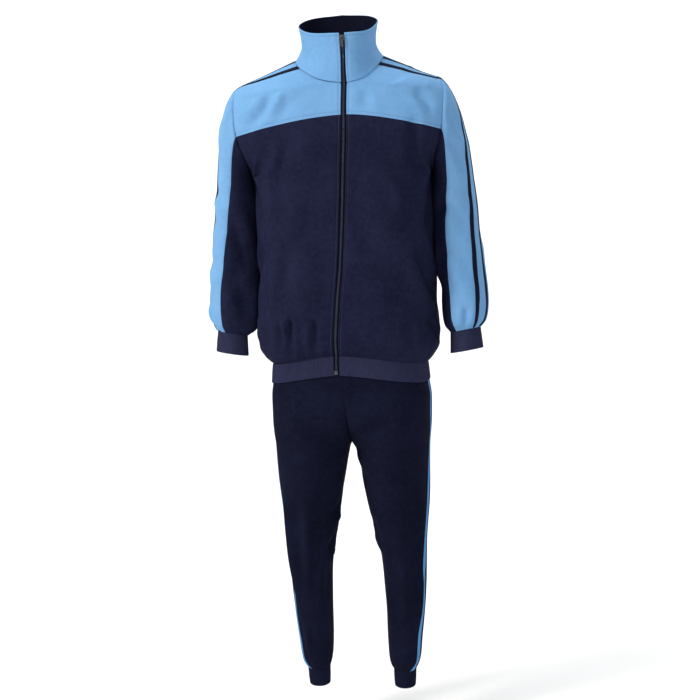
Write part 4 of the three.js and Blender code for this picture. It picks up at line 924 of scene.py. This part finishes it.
for side, name in SIDES.items():
    down = levels_on(lambda s: sleeve_points(s[:, None], np.array([[90.0]]), side)[:, 0], 0, 1, SLEEVE_CELL)
    for part, first, last, material, slot in (
            ("upper", SLEEVE_SEAM_FRONT, SLEEVE_SEAM_BACK, BLUE_JERSEY, "jersey_blue"),
            ("under", SLEEVE_SEAM_BACK, SLEEVE_SEAM_FRONT + 360, NAVY_JERSEY, "jersey_navy")):
        turn = mix(first, last, shares_of((last - first) * MM_A_DEGREE, SLEEVE_CELL))[None, :]
        grid, height = sleeve_grid(down, turn, side)
        panel(f"sleeve_{part}_{name}", grid, -side, height, material)
    for part, edges in zip(PARTS, ("ab", "cd")):
        share = np.concatenate([[0.001, 0.003], np.linspace(0.006, 0.994, 118), [0.998]])
        near, far = (read(SLEEVE_STRIPES, edge, share)[:, None] for edge in edges)
        grid, height = sleeve_grid(share, mix(near, far, np.linspace(0, 1, 6)[None, :]), side)
        lift = height + seam_dip(grid, (False, False, True, True)) + SEAM + STRIPE
        strip(f"sleeve_stripe_{part}_{name}", grid, normals_of(grid, -side), lift, NAVY_TAPE)

# Rib knit: cuffs, hem band, ankle cuffs and waistband

RIB_COLUMNS = 4  # grid lines to one rib
RIB_DEPTH = 0.45
CUFF_RIBS, ANKLE_RIBS = 58, 46
BAND_CELLS, WAIST_CELLS = 288, 240  # grid cells to a quarter of the way round


def ribbed(node, grid, sign, closed, ends, material=NAVY_RIB):
    """Rib knit, a rib to every RIB_COLUMNS columns. `ends` says whether its first and its last line are
    "sewn" or "free"."""
    columns = np.arange(grid.shape[1])
    rib = RIB_DEPTH * np.cos(2 * math.pi * columns / RIB_COLUMNS)
    down = distance_in(grid, 0)
    rounded, height = 0.0, 0.0
    for away, end in zip((down, down[-1:] - down), ends):
        if end == "sewn":
            height = height - 0.5 * np.exp(-((away / 2.4) ** 2))
        else:
            rounded = rounded + 0.85 * (1 - np.sqrt(1 - np.clip(1 - away / 1.6, 0, 1) ** 2))
    # The knit draws in a little and its ribs wander
    wander = 0.2 * np.sin(down / 17 + columns[None, :] * 0.043) + 0.15 * np.sin(columns * 0.11)[None, :]
    height = height + rib[None, :] - RIB_DEPTH + wander
    piece = shell(node + "_rib", grid, sign, RIB * RIB_THIN, material, height, closed, rounded)
    dress(piece, node)


for side, name in SIDES.items():
    turn = np.linspace(0, 360, CUFF_RIBS * RIB_COLUMNS, endpoint=False)[None, :]
    down = shares_of(SLEEVE_FOOT - CUFF_FOOT, RIB_CELL, NEAR_SEAM, NEAR_EDGE)
    grid = sleeve_ring(turn, mix(SLEEVE_FOOT - SEAM / 2, CUFF_FOOT, down)[:, None], side)
    ribbed(f"cuff_{name}", grid, -side, True, ("sewn", "free"))

    # The ankle cuff runs from the inseam over the front to the side and back behind
    half = np.linspace(0, 1, ANKLE_RIBS * RIB_COLUMNS // 2, endpoint=False)
    down = shares_of(LEG_FOOT - ANKLE_FOOT, RIB_CELL, NEAR_SEAM, NEAR_EDGE)
    z = mix(LEG_FOOT - SEAM / 2, ANKLE_FOOT, down)
    grid = np.concatenate([leg_points(z, half, side, False), leg_points(z, 1 - half, side, True)], axis=1)
    ribbed(f"ankle_cuff_{name}", grid, -side, True, ("sewn", "free"), TROUSER_RIB)

# Quarters of a ring round the hips, in turn: left front, left back, right back, right front
QUARTERS = ((1, False), (1, True), (-1, True), (-1, False))


def round_the_hips(quarter_of, cells):
    parts = []
    for side, is_back in QUARTERS:
        share = np.linspace(0, 1, cells + 1)
        outward = (side == 1) != is_back
        parts.append(quarter_of(share if outward else share[::-1], side, is_back))
    return np.concatenate([parts[0]] + [part[:, 1:] for part in parts[1:]], axis=1)


down = shares_of(BAND_HEIGHT, RIB_CELL, NEAR_SEAM, NEAR_EDGE)[:, None]
grid = round_the_hips(
    lambda share, side, is_back: band_points(share[None, :], down, side, is_back), BAND_CELLS)
grid[0] += unit(grid[1] - grid[0]) * SEAM / 2
ribbed("hem_band", grid, -1, False, ("sewn", "free"))

z = mix(WAIST_Z, WAIST_SEAM + SEAM / 2, shares_of(WAIST_Z - WAIST_SEAM, 4.5, NEAR_EDGE, NEAR_SEAM))
grid = round_the_hips(lambda share, side, is_back: leg_points(z, share, side, is_back), WAIST_CELLS)[:, :-1]
ribbed("waistband", grid, -1, True, ("free", "sewn"), TROUSER_RIB)

# Collar and its lining

NECK_START = math.degrees(math.asin(ZIP_HALF / NECK_SIDE))
COLLAR_RADIUS, COLLAR_HEIGHT = 84, 100  # about as large as it is
LINING_OUT = -(JERSEY + SEAM + 0.9)


def collar_grid(start, low, high, spacing):
    across = shares_of(2 * math.pi * COLLAR_RADIUS, spacing, NEAR_STITCHES, NEAR_STITCHES)
    up = shares_of(COLLAR_HEIGHT, spacing, NEAR_SEAM, NEAR_STITCHES)
    return collar_points(mix(low, high, up)[:, None], mix(start, 360 - start, across)[None, :])


def collar_height(grid):
    """Soft hollows where the standing collar gives, calm near its seam and its rim."""
    round_ = np.arctan2(grid[..., 0], -grid[..., 1])
    give = 1.1 * np.sin(3 * round_ + 0.8) + 0.7 * np.sin(7 * round_ + grid[..., 2] * 0.05)
    rise = distance_in(grid, 0)
    return give * smooth(rise / 20) * smooth((rise[-1:] - rise) / 25) * 0.8


grid = collar_grid(NECK_START, 0.006, 1, 4)
across = distance_in(grid, 1)
from_rim = distance_in(grid[::-1], 0)[::-1]
height = collar_height(grid) + zip_fold(np.minimum(across, across[:, -1:] - across))
# Its rim folds over to the lining
height = height + groove(from_rim, RIM_STITCH) + groove(from_rim, 0, 1.0, 1.0)
panel("collar", grid, 1, height, BLUE_JERSEY, (False, False, True, False))

grid = collar_grid(LINING_START, 0.018, 0.988, 5)
height = LINING_OUT + collar_height(grid) * 0.7
# The lining's colour holds painted shade
lining = shell("collar_lining_cloth", grid, 1, LINING * THIN, NAVY_LINING_PAINTED_SHADE, height)
dress(lining, "collar_lining")

# Trousers

ANKLE_GATHER, ANKLE_GATHER_SPACING = 3.0, 21
ANKLE_WIDTH = 150  # mm of a panel at the ankle
BAND_FOOT = -752  # the trousers lie flat down to here, under the hem band
LEG_WIDTH = 240  # mm of a panel at the thigh
CROTCH = -884
STRIPE_TOP = -640  # the stripes start here, hidden by the jacket
DRIFT = {"front": 11, "back": -5}  # mm that each tape drifts to the front down the leg
DRIFT_START, DRIFT_LENGTH = -760, 400


def leg_height(grid, share, side, is_back):
    across = 2 - share if is_back else share
    z = grid[..., 2]
    height = creases(LEG_CREASES, side, across[None, :], z, LEG_WIDTH, *LEG_CREASING) + slack(grid)
    height = height * smooth((BAND_FOOT - z) / 50)
    # The centre seams lie flat down to the crotch
    height = height * mix(smooth(share * LEG_WIDTH / 26)[None, :], 1, smooth((CROTCH - z) / 50))
    at = share * ANKLE_WIDTH
    bump, reach = gathers(at, 70 + side + 3 * is_back, ANKLE_GATHER_SPACING, ANKLE_GATHER, 0.4)
    bump = bump * smooth(at / 10) * smooth((1 - share) * ANKLE_WIDTH / 10)
    up = z - LEG_FOOT
    fade = smooth((up - 1) / 9) * (1 - smooth((up - 16) / (16 + 44 * reach[None, :])))
    return height + bump[None, :] * fade


for side, name in SIDES.items():
    for part in PARTS:
        is_back = part == "back"
        down = shares_of(WAIST_SEAM - LEG_FOOT, LEG_CELL, NEAR_SEAM, NEAR_SEAM)
        z = WAIST_SEAM + down * (LEG_FOOT - WAIST_SEAM)
        share = shares_of(LEG_WIDTH, LEG_CELL)
        grid = leg_points(z, share, side, is_back)
        # The centre seam is closed down to the crotch
        grid[:, 0, 0] -= side * SEAM * smooth((z - CROTCH) / 10)
        height = leg_height(grid, share, side, is_back)
        node = f"trouser_{part}_{name}"
        panel(node, grid, side if is_back else -side, height, NAVY_TROUSER)
        near = LEG_STRIPE_NEAR + DRIFT[part] * smooth((DRIFT_START - z) / DRIFT_LENGTH)
        lines = [line_in(node + "_cloth", "right", near + away, int(np.searchsorted(-z, -STRIPE_TOP)))
                 for away in np.linspace(0, LEG_STRIPE_WIDTH, 6)]
        grid, face = (np.stack(one, axis=1) for one in zip(*lines))
        strip(f"trouser_stripe_{part}_{name}", grid, face, SEAM + STRIPE, BLUE_TAPE)

# Zip


def zip_grid(first, last, cells, spacing, foot=ZIP_FOOT, top=ZIP_TOP):
    z = np.append(np.arange(foot, top, spacing), top)[:, None]
    across = np.linspace(first, last, cells + 1)[None, :]
    return points(read(FRONT_LINE, "lean", z) + across, read(FRONT_LINE, "y", z), z)


TAPE_INNER, TAPE_REACH, TAPE_THICK = 1.2, 8.5, 0.8
for side, name in SIDES.items():
    node = f"zip_tape_{name}"
    first, last = sorted((side * TAPE_INNER, side * TAPE_REACH))
    grid = zip_grid(first, last, 6, 4)
    dress(shell(node + "_woven", grid, 1, TAPE_THICK, ZIP_TAPE, TAPE_BACK), node)


def bead_tree():
    """Beads in a row along each line of a mesh, lengthwise on it, flat on the way that the line faces."""
    tree = bpy.data.node_groups.new("beads_along_a_line", "GeometryNodeTree")
    for name, kind in (("Line", "Geometry"), ("Spacing", "Float"), ("Length", "Float"), ("Width", "Float"),
                       ("Height", "Float"), ("Finish", "Material")):
        tree.interface.new_socket(name, in_out="INPUT", socket_type="NodeSocket" + kind)
    tree.interface.new_socket("Beads", in_out="OUTPUT", socket_type="NodeSocketGeometry")
    given = tree.nodes.new("NodeGroupInput").outputs
    curve = add(tree, "GeometryNodeMeshToCurve", "Curve", {"Mesh": given["Line"]})
    even = add(tree, "GeometryNodeResampleCurve", "Curve", {"Curve": curve, "Length": given["Spacing"]},
               mode="LENGTH")
    facing = add(tree, "GeometryNodeInputNamedAttribute", "Attribute", {"Name": "facing"},
                 data_type="FLOAT_VECTOR")
    tangent = add(tree, "GeometryNodeInputTangent", "Tangent", {})
    turned = add(tree, "FunctionNodeAlignRotationToVector", "Rotation", {"Vector": tangent}, axis="X")
    lying = add(tree, "FunctionNodeAlignRotationToVector", "Rotation", {"Rotation": turned, "Vector": facing},
                axis="Z", pivot_axis="X")
    bead = add(tree, "GeometryNodeMeshUVSphere", "Mesh", {"Segments": 6, "Rings": 4, "Radius": 0.5})
    size = add(tree, "ShaderNodeCombineXYZ", "Vector", {
        "X": given["Length"], "Y": given["Width"], "Z": given["Height"]})
    placed = add(tree, "GeometryNodeInstanceOnPoints", "Instances", {
        "Points": even, "Instance": bead, "Rotation": lying, "Scale": size})
    real = add(tree, "GeometryNodeRealizeInstances", "Geometry", {"Geometry": placed})
    done = add(tree, "GeometryNodeSetMaterial", "Geometry", {"Geometry": real, "Material": given["Finish"]})
    add(tree, "NodeGroupOutput", None, {"Beads": done})
    return tree


BEADS = bead_tree()


def beads(name, lines, spacing, size, material):
    """Bakes a row of beads along each (points, facing) line, in millimetres, as one mesh."""
    mesh = bpy.data.meshes.new(name + "_lines")
    place, facing = (np.concatenate(one) for one in zip(*lines))
    starts = np.cumsum([0] + [len(line) for line, _ in lines])
    joins = [(i, i + 1) for a, b in zip(starts[:-1], starts[1:]) for i in range(a, b - 1)]
    mesh.from_pydata((place * MM).tolist(), joins, [])
    mesh.attributes.new("facing", "FLOAT_VECTOR", "POINT").data.foreach_set("vector", facing.ravel())
    source = new_object(name + "_lines", mesh)
    modifier = source.modifiers.new("Beads", "NODES")
    modifier.node_group = BEADS
    values = {"Spacing": spacing * MM, "Length": size[0] * MM, "Width": size[1] * MM,
              "Height": size[2] * MM, "Finish": material}
    for item in BEADS.interface.items_tree:
        if item.name in values:
            modifier[item.identifier] = values[item.name]
    baked = bpy.data.meshes.new_from_object(source.evaluated_get(bpy.context.evaluated_depsgraph_get()))
    bpy.data.objects.remove(source)
    baked.name = name
    baked.shade_smooth()
    obj = new_object(name, baked)
    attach(obj, "suit")
    return obj


# Teeth: two rows of small moulded bars, each between two of the other row
TOOTH_PITCH = 2.6
TOOTH_SIZE = (1.7, 3.0, 2.0)
TOOTH_OUT = 1.1  # from the zip's centre to the middle of a row
tooth_rows = []
for side in SIDES:
    foot = ZIP_FOOT + 2 + (side > 0) * TOOTH_PITCH / 2
    line = zip_grid(side * TOOTH_OUT, side * TOOTH_OUT, 0, 2, foot, SLIDER_Z - 2)
    face = normals_of(np.concatenate([line, line + [1, 0, 0]], axis=1), 1)[:, 0]
    tooth_rows.append((line[:, 0] + face * (CHAIN_FACE - 1), face))
teeth = beads("zip_teeth", tooth_rows, TOOTH_PITCH, TOOTH_SIZE, TEETH)
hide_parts("zip_chain")


def cast(node, edge, body="suit"):
    """A merged copy of a solid, its flat faces made whole and its edges rounded by `edge` mm."""
    work = bmesh.new()
    work.from_mesh(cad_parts[node].data)
    bmesh.ops.remove_doubles(work, verts=work.verts, dist=1e-6)
    bmesh.ops.dissolve_limit(work, angle_limit=math.radians(1), verts=work.verts, edges=work.edges)
    sharp = [e for e in work.edges if len(e.link_faces) == 2 and e.calc_face_angle() > math.radians(30)]
    bmesh.ops.bevel(work, geom=sharp, offset=edge * MM, segments=2, profile=0.5, affect="EDGES",
                    clamp_overlap=True)
    bmesh.ops.triangulate(work, faces=work.faces)
    mesh = bpy.data.meshes.new(node + "_cast")
    work.to_mesh(mesh)
    work.free()
    mesh.shade_smooth()
    mesh.set_sharp_from_angle(angle=math.radians(35))
    mesh.materials.clear()
    mesh.materials.append(METAL)
    dress(new_object(node + "_cast", mesh), node, body)


cast("zip_slider", 0.25)
cast("zip_pull_tab", 0.22, "pull_tab")
cast("zip_box", 0.4)

# Topstitching

STITCH_SPACING = 3.7
STITCH_SIZE = (2.9, 1.1, 0.55)
FRONT_YOKES = [f"yoke_front_{name}_cloth" for name in SIDES.values()]


def stitching(name, lines, material):
    beads(name, [line_in(*line) for line in lines], STITCH_SPACING, STITCH_SIZE, material)


yoke_seams = [(name, "first", YOKE_STITCH, 3, -3) for name in FRONT_YOKES + ["yoke_back_cloth"]]
yoke_fronts = [(name, "left", ZIP_STITCH, 3, -3) for name in FRONT_YOKES]
stitching("yoke_stitching", yoke_seams + yoke_fronts, BLUE_THREAD)
stitching("front_stitching", [(f"front_{name}_cloth", "left", ZIP_STITCH, 3, -3) for name in SIDES.values()],
          NAVY_THREAD)
stitching("collar_stitching", [
    ("collar_cloth", "last", RIM_STITCH, 4, -4),
    ("collar_cloth", "left", ZIP_STITCH, 3, -4),
    ("collar_cloth", "right", ZIP_STITCH, 3, -4),
], BLUE_THREAD)

# Floor, lights and camera, in metres

FLOOR_Z, FLOOR_FRONT, FLOOR_SIDE, SWEEP = -1.62, -4.0, 6.4, 1.6
SWEEP_START, WALL_TOP = 1.8, 4.5


def backdrop():
    """A pale floor that sweeps up behind the suit."""
    turn = np.linspace(0, math.pi / 2, 16)
    profile = [(FLOOR_FRONT, 0)]
    profile += [(SWEEP_START + SWEEP * math.sin(t), SWEEP * (1 - math.cos(t))) for t in turn]
    profile += [(SWEEP_START + SWEEP, WALL_TOP)]
    place = np.array([(x * FLOOR_SIDE, y, FLOOR_Z + z) for y, z in profile for x in (-1, 1)]) / MM
    faces = np.array([(2 * i, 2 * i + 1, 2 * i + 3, 2 * i + 2) for i in range(len(profile) - 1)])
    # Matt paper: almost no gloss, and a tone that is nearly even
    material, tree, space = start_material("matt_white_paper")
    tone = blend(tree, noise(tree, space, 2.5, 2.0), linear("f2f2f1"), linear("f7f7f7"))
    surface(tree, {"Base Color": tone, "Roughness": 0.95})
    mesh_object("floor", place, faces, None, material)


backdrop()

AIM = Vector((0, 0, -0.6))
BEHIND = Vector((0, 3.2, 0.2))
# Name, place, what it points at, size, power and colour
for name, place, aim, size, power, colour in (
        ("key", (-3.1, -1.9, 1.3), AIM, 1.0, 128, "fffaf4"),
        ("fill", (2.2, -3.0, 0.6), AIM, 2.4, 30, "eef4ff"),
        ("top", (-0.3, -0.1, 2.6), AIM, 1.8, 30, "ffffff"),
        ("rim", (2.0, 2.2, 1.2), AIM, 1.6, 22, "ffffff"),
        ("paper", (0, 1.6, 2.6), BEHIND, 2.4, 60, "ffffff")):
    light = bpy.data.lights.new(name, "AREA")
    light.energy, light.size, light.color = power, size, linear(colour)[:3]
    lamp = new_object(name, light)
    lamp.location = place
    lamp.rotation_euler = (aim - Vector(place)).to_track_quat("-Z", "Y").to_euler()
world = bpy.data.worlds.new("studio")
world.use_nodes = True
background = world.node_tree.nodes["Background"].inputs
background["Color"].default_value = linear("fafbfc")
background["Strength"].default_value = 0.48
bpy.context.scene.world = world
# The photograph's plain contrast, so that a colour shows as it was mixed
bpy.context.scene.view_settings.view_transform = "Standard"

TURN, TILT, ROLL = math.radians(8), math.radians(9.6), math.radians(-2.1)
DISTANCE, EYE_Z = 2.6, -0.23
LENS, SENSOR = 57.4, 36  # mm
camera_data = bpy.data.cameras.new("camera")
camera_data.lens, camera_data.sensor_width = LENS, SENSOR
camera = new_object("camera", camera_data)
camera.location = (DISTANCE * math.sin(TURN), -DISTANCE * math.cos(TURN), EYE_Z)
turned = Matrix.Rotation(TURN, 3, "Z") @ Matrix.Rotation(math.pi / 2 - TILT, 3, "X")
camera.rotation_euler = (turned @ Matrix.Rotation(ROLL, 3, "Z")).to_euler()
bpy.context.scene.camera = camera
